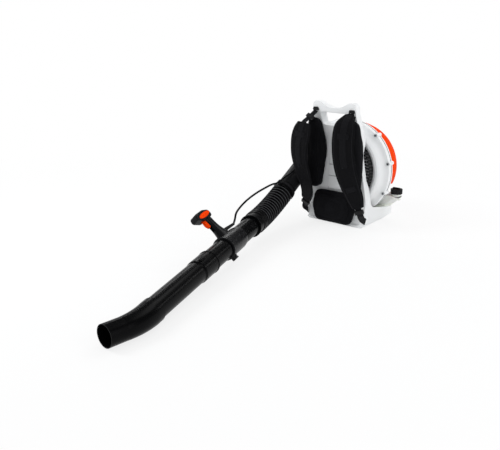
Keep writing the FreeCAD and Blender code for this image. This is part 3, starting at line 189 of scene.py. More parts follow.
def ring_faces(rings, around, start=0):
    """Quads between rings of points that follow each other in the point list."""
    faces = []
    for ring in range(rings - 1):
        for step in range(around):
            a = start + ring * around + step
            b = start + ring * around + (step + 1) % around
            faces.append((a, b, b + around, a + around))
    return faces


def closed_faces(rings, around):
    """Quads between the rings, and a flat face over each end."""
    last = (rings - 1) * around
    return ring_faces(rings, around) + [tuple(range(around))[::-1], tuple(range(last, last + around))]


def circle(count):
    """Cosine and sine of evenly spaced angles round a circle."""
    angles = [2 * math.pi * step / count for step in range(count)]
    return [(math.cos(angle), math.sin(angle)) for angle in angles]


def tube_mesh(path, radius, sides=10, caps=True):
    """Points and faces of a round tube along a list of points."""
    path = [Vector(p) for p in path]
    points = []
    tangent = (path[1] - path[0]).normalized()
    across = tangent.orthogonal().normalized()
    for index, place in enumerate(path):
        before = path[max(index - 1, 0)]
        after = path[min(index + 1, len(path) - 1)]
        tangent = (after - before).normalized()
        across = (across - tangent * across.dot(tangent)).normalized()
        up = tangent.cross(across)
        points += [place + (across * c + up * s) * radius for c, s in circle(sides)]
    return points, closed_faces(len(path), sides) if caps else ring_faces(len(path), sides)


def joined(parts):
    """One (points, faces) pair from several."""
    points = []
    faces = []
    for more_points, more_faces in parts:
        start = len(points)
        points.extend(more_points)
        faces.extend(tuple(i + start for i in face) for face in more_faces)
    return points, faces


# Materials

class Nodes:
    """Short names for building a node tree."""

    def __init__(self, tree):
        self.tree = tree

    def feed(self, socket, value):
        """Links an output to a socket, or sets the socket to a plain value; None leaves it as it is."""
        if hasattr(value, "is_output"):
            self.tree.links.new(value, socket)
        elif value is not None:
            socket.default_value = (*value, 1) if socket.type == "RGBA" else value

    def fill(self, node, values):
        """Gives each value to the input of that name, or else to the node's own setting."""
        for key, value in values.items():
            label = key.replace("_", " ")
            if label in node.inputs:
                self.feed(node.inputs[label], value)
            else:
                setattr(node, key, value)

    def add(self, kind, **values):
        node = self.tree.nodes.new("ShaderNode" + kind)
        self.fill(node, values)
        return node

    def axes(self, kind="Object"):
        """The X, Y and Z outputs of a texture coordinate."""
        return self.add("SeparateXYZ", Vector=self.add("TexCoord").outputs[kind]).outputs

    def place(self, scale, kind="Object"):
        """Texture coordinates in metres times a scale."""
        scales = scale if isinstance(scale, tuple) else (scale,) * 3
        mapping = self.add("Mapping", Vector=self.add("TexCoord").outputs[kind], Scale=scales)
        return mapping.outputs["Vector"]

    def noise(self, scale, detail=3.0, roughness=0.55, vector=None):
        vector = vector or self.place(scale)
        node = self.add("TexNoise", Scale=1.0, Detail=detail, Roughness=roughness, Vector=vector)
        return node.outputs["Fac"]

    def ramp(self, value, low, high, start, end):
        """Maps a value from low..high to start..end."""
        node = self.add("MapRange", From_Min=low, From_Max=high, To_Min=start, To_Max=end, Value=value)
        return node.outputs["Result"]

    def mixed(self, share, first, second):
        """Mix of two colours or colour outputs."""
        return self.add("Mix", data_type="RGBA", A=first, B=second, Factor=share).outputs["Result"]

    def tinted(self, share, colour, low, high):
        """A colour that runs from a darker to a paler one."""
        return self.mixed(share, scaled(colour, low), scaled(colour, high))

    def maths(self, operation, first, second=0):
        node = self.add("Math", operation=operation)
        self.feed(node.inputs[0], first)
        self.feed(node.inputs[1], second)
        return node.outputs["Value"]

    def plus(self, first, second):
        return self.maths("ADD", first, second)

    def minus(self, first, second):
        return self.maths("SUBTRACT", first, second)

    def times(self, first, second):
        return self.maths("MULTIPLY", first, second)

    def bump(self, height, distance, edge=None):
        """Normal from a height; edge is the radius that softens a flat-faced moulding."""
        soft = self.add("Bevel", samples=4, Radius=edge).outputs["Normal"] if edge else None
        node = self.add("Bump", Strength=1.0, Distance=distance, Height=height, Normal=soft)
        return node.outputs["Normal"]


class Paint(Nodes):
    """The nodes of one material."""

    def __init__(self, name):
        self.material = bpy.data.materials.new(name)
        self.material.use_nodes = True
        super().__init__(self.material.node_tree)
        self.shader = self.tree.nodes["Principled BSDF"]

    def finish(self, colour, roughness, normal=None, shine=0.5, **others):
        self.fill(self.shader, {"Base Color": colour, "Roughness": roughness, "Normal": normal,
                                "Specular IOR Level": shine, **others})
        return self.material


def scaled(colour, share):
    return tuple(min(1, part * share) for part in colour)


def moulded(name, colour, roughness, grain=0.00004, grain_scale=2600, edge=0.0012, wear=0.0, coat=0.0,
            tint=0.05, shine=0.5):
    """Moulded plastic: fine grain, faint flow marks, soft edges, and rubbed edges where it is handled."""
    n = Paint(name)
    clouds = n.noise(9, 4)
    shade = n.tinted(clouds, colour, 1 - tint * 1.6, 1 + tint)
    if wear:
        pointed = n.add("NewGeometry").outputs["Pointiness"]
        shade = n.mixed(n.ramp(pointed, 0.53, 0.62, 0, wear), shade, tuple(part + 0.16 for part in colour))
    rough = n.plus(n.ramp(n.noise(55, 5, 0.65), 0.3, 0.75, roughness - 0.05, roughness + 0.08),
                   n.ramp(clouds, 0, 1, -0.02, 0.03))
    return n.finish(shade, rough, n.bump(n.noise(grain_scale, 2), grain, edge), shine, Coat_Weight=coat,
                    Coat_Roughness=0.15)


def slatted(name, colour, roughness):
    """Moulded black grille: level slats at the pitch of its slots, with painted shade between them."""
    n = Paint(name)
    turns = n.times(n.minus(n.axes()["Z"], FAN_Z * MM), 2 * math.pi / (SLOT_PITCH * MM))
    slat = n.ramp(n.maths("COSINE", turns), -0.25, 0.25, 1, 0)
    # Painted shade: near-black bands between the slats, where the slots are
    shade = n.mixed(slat, (0.002, 0.002, 0.002), n.tinted(n.noise(60, 4), colour, 0.8, 1.2))
    return n.finish(shade, roughness, n.bump(slat, 0.0012, 0.0008), 0.2)


def tube_finish(name, colour, roughness):
    """Extruded satin tube: long faint drawing lines in its sheen."""
    n = Paint(name)
    clouds = n.noise(14, 4)
    lines = n.ramp(n.noise(1.0, 2, 0.5, n.place((900, 60, 900))), 0.56, 0.72, 0, 1)
    rough = n.plus(n.ramp(clouds, 0.2, 0.8, roughness - 0.03, roughness + 0.04), n.times(lines, 0.02))
    return n.finish(n.tinted(clouds, colour, 0.8, 1.25), rough, n.bump(n.noise(260, 2), 0.00001), 0.05)


def ribbed(name, colour, crest, roughness, shine):
    """Moulded hose rubber: a painted highlight along each rib's crest, paler than the dark valleys; U counts
    the ribs.
    """
    n = Paint(name)
    rise = n.ramp(n.maths("COSINE", n.times(n.axes("UV")["X"], 2 * math.pi)), -0.55, -1.0, 0, 1)
    bloom = n.noise(26, 5, 0.62)
    # Painted highlight: the crest colour is laid along the tops of the ribs
    top = n.tinted(n.ramp(bloom, 0.35, 0.8, 0, 1), crest, 0.75, 1.25)
    rough = n.ramp(bloom, 0.3, 0.8, roughness - 0.05, roughness + 0.07)
    return n.finish(n.mixed(rise, colour, top), rough, n.bump(n.noise(1500, 2), 0.00003), shine)


def grooved_plate(name, colour, roughness):
    """White moulding of the backplate, with painted shade in the panel's cross grooves and along the foot of
    the panel's sides.
    """
    shade_end = 0.330
    n = Paint(name)
    place = n.axes()
    shade = n.tinted(n.noise(9, 4), colour, 0.976, 1.015)
    taper = n.times(n.minus(place["Z"], PANEL_BOTTOM * MM), -PANEL_TAPER)
    over = n.minus(n.minus(n.maths("ABSOLUTE", place["X"]), PANEL_HALF_WIDTH * MM), taper)
    inside = n.ramp(over, -0.0002, 0.0004, 1, 0)
    front = n.ramp(place["Y"], 0.0005, 0.0001, 0, 1)
    lines = []
    for height in GROOVE_HEIGHTS:
        away = n.maths("ABSOLUTE", n.minus(place["Z"], (height + GROOVE_WIDTH / 2) * MM))
        lines.append(n.ramp(away, 0.0011, 0.0020, 1, 0))
    foot = n.ramp(n.maths("ABSOLUTE", n.minus(over, 0.0005)), 0.0006, 0.0022, 1, 0)
    panel_side_shade = n.times(foot, n.ramp(place["Z"], shade_end, shade_end + 0.015, 1, 0))
    # Painted shade: grey lines in the cross grooves and along the foot of the panel's sides, on its front
    # face only
    shadow = n.maths("MAXIMUM", n.times(n.maths("MAXIMUM", *lines), inside), n.times(panel_side_shade, 0.55))
    shade = n.mixed(n.times(n.times(shadow, front), 0.8), shade, scaled(colour, 0.42))
    rough = n.ramp(n.noise(55, 5, 0.65), 0.3, 0.75, roughness - 0.05, roughness + 0.08)
    return n.finish(shade, rough, n.bump(n.noise(2600, 2), 0.00004, 0.0022), 0.4)


def woven(name, colour, pitch, sheen=0.035, depth=0.00035):
    """Plain weave from two crossed thread waves on the piece's own UVs."""
    n = Paint(name)
    vector = n.place(1.0, "UV")
    waves = [n.add("TexWave", bands_direction=way, Scale=0.5 / pitch, Distortion=0.6, Detail_Scale=2.0,
                   Vector=vector).outputs["Fac"] for way in ("X", "Y")]
    weave = n.times(*waves)
    clouds = n.noise(38, 5, 0.6)
    tone = n.plus(n.times(weave, 0.6), n.times(clouds, 0.4))
    height = n.plus(weave, n.times(n.noise(2600, 2), 0.25))
    rough = n.ramp(clouds, 0.2, 0.8, 0.78, 0.92)
    return n.finish(n.tinted(tone, colour, 0.55, 1.7), rough, n.bump(height, depth), 0.1, Sheen_Weight=sheen,
                    Sheen_Roughness=0.45, Sheen_Tint=(0.5, 0.5, 0.55))


def spacer_mesh(name, colour, pitch):
    """Open knitted mesh over foam: a lattice of small holes with lighter threads between."""
    n = Paint(name)
    turned = n.add("Mapping", Vector=n.add("TexCoord").outputs["Object"], Rotation=(0, math.radians(45), 0))
    cells = n.add("TexVoronoi", Scale=1.0 / pitch, Randomness=0.12, Vector=turned.outputs["Vector"])
    hole = n.ramp(cells.outputs["Distance"], 0.18, 0.42, 0, 1)
    tone = n.plus(n.times(hole, 0.75), n.times(n.noise(30, 5, 0.6), 0.25))
    height = n.plus(hole, n.times(n.noise(3200, 2), 0.3))
    return n.finish(n.tinted(tone, colour, 0.25, 1.5), 0.9, n.bump(height, 0.0005), 0.08, Sheen_Weight=0.03,
                    Sheen_Roughness=0.5, Sheen_Tint=(0.5, 0.5, 0.55))


def rubber(name, colour, roughness=0.62, shine=0.3):
    """Moulded rubber: fine stipple, pale bloom in patches."""
    n = Paint(name)
    bloom = n.noise(26, 5, 0.62)
    shade = n.tinted(n.ramp(bloom, 0.35, 0.8, 0, 1), colour, 0.8, 1.6)
    rough = n.ramp(bloom, 0.3, 0.8, roughness - 0.06, roughness + 0.1)
    return n.finish(shade, rough, n.bump(n.noise(1500, 2), 0.00006, 0.0006), shine)


def metal(name, colour, roughness, scale=500, brushed=False, depth=0.00003):
    """Bare metal: cast grain or turning marks, with patchy roughness."""
    n = Paint(name)
    place = n.place((scale * 0.1, scale * 0.1, scale * 3) if brushed else scale)
    grain = n.noise(scale, 4, 0.6, place)
    patches = n.noise(35, 4)
    rough = n.plus(n.ramp(patches, 0.2, 0.8, roughness - 0.06, roughness + 0.08),
                   n.ramp(grain, 0, 1, -0.03, 0.05))
    return n.finish(n.tinted(patches, colour, 0.85, 1.08), rough, n.bump(grain, depth, 0.0006), Metallic=1.0)


def tank_finish(name):
    """Blow-moulded translucent plastic, milky and slightly green, darker where the fuel stands."""
    fuel_level = 0.070
    n = Paint(name)
    fuel = n.ramp(n.axes()["Z"], fuel_level, fuel_level + 0.016, 1, 0)
    shade = n.mixed(n.noise(22, 4), (0.84, 0.88, 0.80), (0.91, 0.93, 0.87))
    shade = n.mixed(n.times(fuel, 0.35), shade, (0.70, 0.76, 0.60))
    return n.finish(shade, 0.38, n.bump(n.noise(240, 3), 0.00012, 0.0015), Transmission_Weight=0.07,
                    Subsurface_Weight=0.3, Subsurface_Radius=(0.012, 0.014, 0.010), Subsurface_Scale=1.0,
                    IOR=1.5)


WHITE = moulded("white_plastic", (0.875, 0.885, 0.89), 0.34, edge=0.0022, tint=0.015, shine=0.4)
PLATE_WHITE = grooved_plate("plate_white", (0.875, 0.885, 0.89), 0.34)
ORANGE = moulded("orange_plastic", (0.92, 0.055, 0.0004), 0.54, edge=0.0015, tint=0.04, shine=0.02)
BLACK = moulded("black_plastic", (0.005, 0.005, 0.006), 0.42, grain=0.0001, grain_scale=1400, wear=0.04,
                shine=0.13)
HEAD_BLACK = moulded("head_black", (0.005, 0.005, 0.006), 0.3, grain=0.00002, grain_scale=1500, wear=0.03,
                     coat=0.06, shine=0.12)
GRILLE_BLACK = slatted("grille_black", (0.030, 0.031, 0.034), 0.45)
TUBE_BLACK = tube_finish("tube_black", (0.0018, 0.0018, 0.0021), 0.24)
HOSE_RUBBER = rubber("hose_rubber", (0.0025, 0.0025, 0.0028), 0.34, 0.1)
# The second colour is the painted highlight on the rib crests
RIBBED = ribbed("ribbed_rubber", (0.0008, 0.0008, 0.0010), (0.066, 0.067, 0.071), 0.36, 0.05)
# Soft rubber parts, and also the dark of the painted seam shadow and of the painted screw socket shade
SOFT_RUBBER_AND_SHADE = rubber("soft_rubber", (0.008, 0.008, 0.009), 0.6, 0.2)
CABLE = rubber("cable_jacket", (0.003, 0.003, 0.0035), 0.42, 0.1)
PAD_MESH = spacer_mesh("pad_mesh", (0.0045, 0.0045, 0.0055), 0.0032)
PAD_BINDING = woven("pad_binding", (0.004, 0.004, 0.005), 0.0009)
STRAP_CLOTH = woven("strap_cloth", (0.0045, 0.0045, 0.0055), 0.0013)
WEBBING = woven("webbing", (0.0075, 0.0075, 0.009), 0.0018, sheen=0.05, depth=0.0005)
THREAD = rubber("stitch_thread", (0.040, 0.040, 0.046), 0.7, 0.1)
ROPE = woven("rope_braid", (0.035, 0.035, 0.040), 0.0016, sheen=0.05, depth=0.0004)
TANK = tank_finish("tank_plastic")
CAST = metal("cast_alloy", (0.60, 0.61, 0.62), 0.5, 700, depth=0.0001)
STEEL = metal("steel", (0.50, 0.50, 0.52), 0.34, 400, True)
SCREW = metal("screw_steel", (0.42, 0.43, 0.45), 0.5, 600)
SPRING_STEEL = metal("spring_steel", (0.22, 0.24, 0.28), 0.35, 400, True)
SCORCHED = metal("muffler_steel", (0.34, 0.31, 0.28), 0.55, 300, depth=0.00008)
FOAM = rubber("filter_foam", (0.06, 0.06, 0.055), 0.9)

NODE_FINISH = (
    (PLATE_WHITE, "backplate"),
    (WHITE, "fan_housing_front fan_housing_rear"),
    (ORANGE, "engine_shroud head_inlay throttle_trigger"),
    (SOFT_RUBBER_AND_SHADE, "av_buffers plug_boot primer_bulb cable_boot"),
    (BLACK, "strap_buckles strap_hooks ignition_module filter_base filter_cover cover_knob choke_lever"),
    (BLACK, "starter_cover starter_pulley starter_grip fuel_cap outlet_elbow hose_clamp setting_lever"),
    (BLACK, "cable_clip"),
    (HEAD_BLACK, "handle_clamp control_handle"),
    (GRILLE_BLACK, "intake_grille"),
    (TUBE_BLACK, "swivel_tube blower_tube curved_nozzle"),
    (HOSE_RUBBER, "hose_upper_cuff wand_sleeve"),
    (CAST, "fan_wheel crankcase engine_cylinder carburetor"),
    (STEEL, "crankshaft crank_bearings spark_plug starter_cup clamp_bolt trigger_pin"),
    (SCREW, "housing_screws"),
    (SCORCHED, "muffler"),
    (SPRING_STEEL, "recoil_spring"),
    (FOAM, "air_filter"),
    (TANK, "fuel_tank"),
)


def dress_node(name, material):
    """Material and smooth shading for a solid that keeps its own mesh."""
    node = nodes[name]
    node.data.materials.clear()
    node.data.materials.append(material)
    set_smooth(node.data)
    weld = node.modifiers.new("weld", "WELD")
    weld.merge_threshold = 0.00001
    split = node.modifiers.new("edges", "EDGE_SPLIT")
    split.split_angle = math.radians(32)


for node_material, node_names in NODE_FINISH:
    for node_name in node_names.split():
        dress_node(node_name, node_material)


# Camera and light

CAMERA_PLACE = Vector((1.40899, -2.2888, 0.84313))
CAMERA_AZIMUTH = math.radians(39.33)
CAMERA_PITCH = math.radians(17.79)
FOCAL_PIXELS = 656.0
IMAGE_WIDTH = 500.0

camera = add_object("camera", bpy.data.cameras.new("camera"))
camera.data.sensor_width = 36.0
camera.data.lens = 36.0 * FOCAL_PIXELS / IMAGE_WIDTH
camera.data.clip_start = 0.05
camera.data.clip_end = 60.0
toward = Vector((-math.sin(CAMERA_AZIMUTH) * math.cos(CAMERA_PITCH),
                 math.cos(CAMERA_AZIMUTH) * math.cos(CAMERA_PITCH), -math.sin(CAMERA_PITCH)))
camera.location = CAMERA_PLACE
camera.rotation_mode = "QUATERNION"
camera.rotation_quaternion = toward.to_track_quat("-Z", "Y")
bpy.context.scene.camera = camera
bpy.context.scene.view_settings.view_transform = "Standard"


def white_behind(n, lit, white, share=1.0):
    """Mix of a lit shader with a white one, which only camera, mirror and glass rays see."""
    rays = n.add("LightPath").outputs
    mirrored = n.maths("MAXIMUM", rays["Is Glossy Ray"], rays["Is Transmission Ray"])
    seen = n.maths("MAXIMUM", rays["Is Camera Ray"], mirrored)
    mix = n.add("MixShader")
    for socket, value in zip(mix.inputs, (n.times(seen, share), lit, white)):
        n.feed(socket, value)
    return mix.outputs[0]


def make_world():
    world = bpy.data.worlds.new("studio")
    bpy.context.scene.world = world
    world.use_nodes = True
    n = Nodes(world.node_tree)
    lit = n.tree.nodes["Background"]
    n.fill(lit, {"Color": (0.97, 0.985, 1.0), "Strength": 0.66})
    fade = n.add("MapRange", interpolation_type="SMOOTHSTEP", Value=n.axes("Generated")["Z"],
                 From_Min=0.04, From_Max=0.32, To_Min=1.0, To_Max=0.2)
    white = n.add("Background", Color=(1, 1, 1), Strength=fade.outputs["Result"])
    surface = white_behind(n, lit.outputs[0], white.outputs[0])
    n.feed(n.tree.nodes["World Output"].inputs["Surface"], surface)


def make_floor():
    mesh = bpy.data.meshes.new("floor")
    bm = bmesh.new()
    bmesh.ops.create_circle(bm, cap_ends=True, segments=96, radius=16.0)
    bm.to_mesh(mesh)
    bm.free()
    floor = add_object("floor", mesh)
    floor.location.z = -0.0005
    n = Paint("floor_paint")
    shade = n.mixed(n.noise(3.0, 3), (0.86, 0.86, 0.86), (0.89, 0.89, 0.89))
    mesh.materials.append(n.finish(shade, 0.8))
    white = n.add("Emission", Color=(1, 1, 1), Strength=1.0)
    away = n.add("VectorMath", operation="DISTANCE")
    away.inputs[1].default_value = (0.0, -0.5, 0.0)
    n.feed(away.inputs[0], n.add("TexCoord").outputs["Object"])
    share = n.ramp(away.outputs["Value"], 0.75, 2.2, 0.80, 1.0)
    surface = white_behind(n, n.shader.outputs[0], white.outputs[0], share)
    n.feed(n.tree.nodes["Material Output"].inputs["Surface"], surface)


def area_light(name, place, target, size, power):
    light = bpy.data.lights.new(name, "AREA")
    light.shape = "RECTANGLE"
    light.size, light.size_y = size
    light.energy = power
    lamp = add_object(name, light)
    lamp.location = place
    lamp.rotation_mode = "QUATERNION"
    lamp.rotation_quaternion = (Vector(target) - Vector(place)).to_track_quat("-Z", "Y")


make_world()
make_floor()
area_light("key_left", (-1.6, -1.9, 2.4), (0, -0.4, 0.2), (0.8, 1.4), 36)
area_light("top_back", (0.3, 1.1, 2.5), (0, -0.3, 0.2), (2.2, 1.0), 17)
area_light("fill_right", (2.6, -0.6, 1.3), (0, -0.1, 0.25), (1.4, 1.6), 15)
area_light("streak_back", (0.95, 1.65, 1.15), (0.0, -0.8, 0.06), (0.9, 0.25), 3)
area_light("rim_left", (-2.3, 1.5, 1.55), (-0.1, -0.6, 0.15), (1.8, 0.5), 10)


# Back pads

def arc_outline(corners, count):
    """Evenly spaced points round a closed figure of (x, z, radius) corners joined by tangent arcs."""
    raw = []
    for index, (x, z, radius) in enumerate(corners):
        point = Vector((x, z))
        before = (Vector(corners[index - 1][:2]) - point).normalized()
        after = (Vector(corners[(index + 1) % len(corners)][:2]) - point).normalized()
        half = before.angle(after) / 2
        reach = radius / math.tan(half)
        centre = point + (before + after).normalized() * (radius / math.sin(half))
        start = point + before * reach - centre
        turn = start.angle_signed(point + after * reach - centre)
        raw += [centre + Matrix.Rotation(-turn * step / 14, 2) @ start for step in range(15)]
    closed = raw + raw[:1]
    lengths = np.cumsum([0] + [(b - a).length for a, b in zip(closed, closed[1:])])
    wanted = np.linspace(0, lengths[-1], count, endpoint=False)
    xs = np.interp(wanted, lengths, [p.x for p in closed])
    zs = np.interp(wanted, lengths, [p.y for p in closed])
    return np.stack([xs, zs], 1)


def plate_front(z):
    """Y of the plate's face, where its top leans to the operator."""
    slope = HORN_LEAN / (HORN_HEIGHT - 40 - LEAN_START)
    knee = 24.0
    over = z - LEAN_START
    if over < -knee:
        return 0.0
    if over < knee:
        return -slope * (over + knee) ** 2 / (4 * knee)
    return -slope * over


PAD_CROWN = 0.06
# Share of the depth and inset, from the back edge over the side to the middle of the face
PAD_PROFILE = ((0.02, 5.0), (0.10, 1.8), (0.28, 0.2), (0.52, 0.0), (0.74, 1.6), (0.90, 5.5), (0.975, 11.0),
               (0.985, 15.0), (0.955, 17.0), (0.985, 19.5), (1.0 - PAD_CROWN * 0.3, 26.0))
PAD_SEAM_INSET = 16.5
PILLOW_TRAVEL = 6.0
HELD_DEPTH = 6.0
CREASE_SIZE = 0.05
CREASE_DEPTH = 0.0018


def shrunk(outline, shares):
    """The outline drawn in to a share of its width and of its height."""
    middle = (outline.min(0) + outline.max(0)) / 2
    return middle + (outline - middle) * shares


def pad_mesh(name, outline, depth, lean):
    """Closed cushion on the plate; the middle of its face is a fan of inner rings."""
    half = np.ptp(outline, axis=0) / 2
    bottom = outline.min(0)[1]
    rings = [(share, 1 - inset / half) for share, inset in PAD_PROFILE]
    edge, scale = rings[-1]
    for step in range(1, 5):
        t = step / 4
        rings.append((edge + PAD_CROWN * (1 - (1 - t) ** 2), scale * (1 - t * 0.94)))
    top = max(share for share, shares in rings)
    points = []
    for share, shares in rings:
        for x, z in shrunk(outline, shares):
            back = plate_front(z) - PAD_GAP - 0.6
            front = -(depth + lean * (z - bottom) / (2 * half[1]))
            points.append(Vector((x, back + (front - back) * share / top, z)))
    piece = mesh_object(name, points, closed_faces(len(rings), len(outline)))
    turn_outward(piece)
    return piece


def pillow(piece):
    """Cloth simulation that fills the cover, held at the plate, with each point's travel capped."""
    remesh = piece.modifiers.new("remesh", "REMESH")
    remesh.mode = "VOXEL"
    remesh.voxel_size = 0.005
    apply_modifiers(piece)
    start = np.array([tuple(v.co) for v in piece.data.vertices])
    at_plate = [i for i, (x, y, z) in enumerate(start) if y > (plate_front(z / MM) - HELD_DEPTH) * MM]
    piece.vertex_groups.new(name="held").add(at_plate, 1.0, "REPLACE")
    cloth = piece.modifiers.new("cloth", "CLOTH")
    cloth.settings.vertex_group_mass = "held"
    cloth.settings.use_pressure = True
    cloth.settings.uniform_pressure_force = 4.0
    cloth.settings.quality = 4
    cloth.settings.mass = 0.3
    cloth.settings.effector_weights.gravity = 0.0
    cloth.point_cache.frame_start = 1
    cloth.point_cache.frame_end = 14
    for step in range(1, 15):
        bpy.context.scene.frame_set(step)
    apply_modifiers(piece)
    bpy.context.scene.frame_set(1)
    travel = np.array([tuple(v.co) for v in piece.data.vertices]) - start
    length = np.linalg.norm(travel, axis=1, keepdims=True)
    travel *= np.minimum(1.0, PILLOW_TRAVEL * MM / np.maximum(length, 1e-9))
    piece.data.vertices.foreach_set("co", (start + travel).astype(np.float32).ravel())
    piece.data.update()


def crease(piece, seed):
    """Shallow hollows of worn foam, kept inside the pad's own surface."""
    offset = Vector((seed * 1.7, seed * 0.3, seed * 2.9))
    for vertex in piece.data.vertices:
        value = noise.noise(vertex.co / CREASE_SIZE + offset)
        vertex.co -= vertex.normal * max(0.0, value) * CREASE_DEPTH


def subdivide(piece):
    piece.modifiers.new("subdivision", "SUBSURF").levels = 1
    apply_modifiers(piece)


def piping(name, piece, outline):
    """Bound seam round the face of a pad, laid on the surface of the cushion."""
    path = []
    for x, z in shrunk(outline, 1 - PAD_SEAM_INSET / (np.ptp(outline, axis=0) / 2)):
        hit, place, normal, face = piece.ray_cast(Vector((x * MM, -0.2, z * MM)), Y)
        if hit:
            path.append(place / MM + normal * 0.5)
    points, faces = tube_mesh(path + path[:2], 1.5, 8, False)
    uvs = [(i * 0.001, (i % 8) * 0.001) for i in range(len(points))]
    finish_piece(mesh_object(name, points, faces, uvs=uvs), PAD_BINDING, "machine")


def back_pad_outline(side):
    middle = (PAD_BOTTOM + PAD_TOP) / 2
    corners = [
        (side * (PAD_OUTER - 4), PAD_BOTTOM, 26), (side * PAD_OUTER, middle, 300),
        (side * (PAD_OUTER - 12), PAD_TOP, 24), (side * (PAD_INNER + 14), PAD_TOP - 4, 26),
        (side * (PAD_INNER - 4), middle, 240), (side * (PAD_INNER + 18), PAD_BOTTOM + 4, 26),
    ]
    return arc_outline(corners, 120)


def lumbar_outline():
    middle = (LUMBAR_BOTTOM + LUMBAR_TOP) / 2
    half = [(LUMBAR_HALF_WIDTH - 18, LUMBAR_BOTTOM, 26), (LUMBAR_HALF_WIDTH, middle, 60),
            (LUMBAR_HALF_WIDTH - 16, LUMBAR_TOP, 24)]
    other = [(-x, z, r) for x, z, r in reversed(half)]
    return arc_outline(half + other, 140)


def make_pad(name, outline, depth, lean, node, seed):
    piece = pad_mesh(name, outline, depth - 3, lean)
    pillow(piece)
    crease(piece, seed)
    subdivide(piece)
    finish_piece(piece, PAD_MESH, "machine", [node])
    piping(name + "_seam", piece, outline)


make_pad("back_pad_cushion_left", back_pad_outline(1), PAD_DEPTH, PAD_LEAN, "back_pad_left", 1)
make_pad("back_pad_cushion_right", back_pad_outline(-1), PAD_DEPTH, PAD_LEAN, "back_pad_right", 2)
make_pad("lumbar_cushion", lumbar_outline(), LUMBAR_DEPTH, 0, "lumbar_pad", 3)


# Shoulder straps

STRAP_STATIONS = 110
WEBBING_WIDTH = 26.0
WEBBING_START = 0.03
WEBBING_END = 0.60
KEEPER_WIDTH = 22.0
KEEPERS = {1: (0.33, 0.79), -1: (0.22,)}
BOX_STITCHES = {"upper": (0.22, 0.29), "lower": (0.55, WEBBING_END)}
STITCH_PITCH = 4.2


def line_frames(samples, directions):
    """Frames along a line: centre, width, direction, width direction and outward normal."""
    frames = []
    for index, (sample, across) in enumerate(zip(samples, directions)):
        before = Vector(samples[max(index - 1, 0)][:3])
        after = Vector(samples[min(index + 1, len(samples) - 1)][:3])
        along = (after - before).normalized()
        flat = (across - along * across.dot(along)).normalized()
        normal = along.cross(flat)
        frames.append((Vector(sample[:3]), sample[3], along, flat, -normal if normal.y > 0 else normal))
    return frames


def strap_frames(side):
    twist = STRAP_TWIST[side]
    across = Vector((math.cos(twist), side * math.sin(twist), 0))
    return line_frames(smooth_line(STRAP_LINE[side], STRAP_STATIONS), [across] * STRAP_STATIONS)


def strap_section(u, pinch):
    """Half thickness share at a place across the strap, u from -1 to 1: seams near both edges."""
    edge = 1 - abs(u)
    body = min(1.0, (edge / 0.34)) if edge < 0.34 else 1.0
    body = math.sin(body * math.pi / 2) ** 0.8
    seam = math.exp(-((edge - 0.12) / 0.035) ** 2) * 0.25
    return 0.30 + 0.70 * body * pinch - seam


def sewn(piece, material, replaced=()):
    return finish_piece(piece, material, "machine", replaced)


def strip(name, frames, places, half_at):
    """Closed strip along frames, with UVs in metres; half_at gives half its thickness at a place across."""
    points = []
    uvs = []
    length = 0
    before = frames[0][0]
    for index, (centre, width, along, flat, normal) in enumerate(frames):
        length += (centre - before).length
        before = centre
        for face in (1, -1):
            for place in places:
                u = place * face
                points.append(centre + flat * (u * width / 2) + normal * (face * half_at(index, u, face)))
                uvs.append((u * width / 2 * MM, length * MM))
    piece = mesh_object(name, points, closed_faces(len(frames), 2 * len(places)), uvs=uvs)
    turn_outward(piece)
    return piece


def shoulder_strap(name, side, frames):
    """Padded body of a strap, with quilting and a slight ripple."""

    def half_at(index, u, face):
        t = index / (STRAP_STATIONS - 1)
        half = STRAP_THICKNESS / 2 * strap_section(u, min(1.0, 0.35 + min(t, 1 - t) / 0.03))
        if face > 0:
            half *= 1 - 0.10 * math.exp(-(((t * 9) % 1 - 0.5) / 0.08) ** 2)
        return half + noise.noise(Vector((u * 2.2, t * 14, side * 3.0))) * 0.28

    strap = strip(name, frames, [-1 + 2 * (column + 0.5) / 30 for column in range(30)], half_at)
    subdivide(strap)
    return strap


def edge_binding(name, frames, edge):
    """Rolled binding tape along one edge of a strap."""
    path = [frame[0] + frame[3] * (edge * (frame[1] / 2 - 0.6)) for frame in frames[1:-1]]
    points, faces = tube_mesh(path, 2.1, 10)
    uvs = [((i % 10) * 0.0013, (i // 10) * 0.0035) for i in range(len(points))]
    sewn(mesh_object(name, points, faces, uvs=uvs), PAD_BINDING)


def stitches(name, places, length, radius):
    """Thread stitches: a short tapered capsule at each (point, direction) place."""
    sides = 5
    parts = []
    for point, direction in places:
        ends = [point + direction * (length * share) for share in (-0.5, -0.3, 0.3, 0.5)]
        points, faces = tube_mesh(ends, radius, sides)
        for ring in (0, 3):
            for i in range(ring * sides, (ring + 1) * sides):
                points[i] = ends[ring] + (points[i] - ends[ring]) * 0.3
        parts.append((points, faces))
    points, faces = joined(parts)
    sewn(mesh_object(name, points, faces), THREAD)


def surface_place(piece, point, normal):
    """Point of a piece's skin under a place outside it."""
    hit, place, found, face = piece.ray_cast((point + normal * 20) * MM, -normal)
    return (place / MM, found) if hit else (point + normal * STRAP_THICKNESS / 2, normal)


def even_frames(frames, pitch):
    """Frames at an even pitch along a strap."""
    lengths = np.cumsum([0] + [(b[0] - a[0]).length for a, b in zip(frames, frames[1:])])
    picked = []
    for wanted in np.arange(0, lengths[-1], pitch):
        index = min(int(np.searchsorted(lengths, wanted)), len(frames) - 1)
        low = max(index - 1, 0)
        span = lengths[index] - lengths[low]
        t = (wanted - lengths[low]) / span if span > 0 else 0
        a, b = frames[low], frames[index]
        picked.append((a[0].lerp(b[0], t), a[1] + (b[1] - a[1]) * t,
                       *(a[part].lerp(b[part], t).normalized() for part in (2, 3, 4))))
    return picked


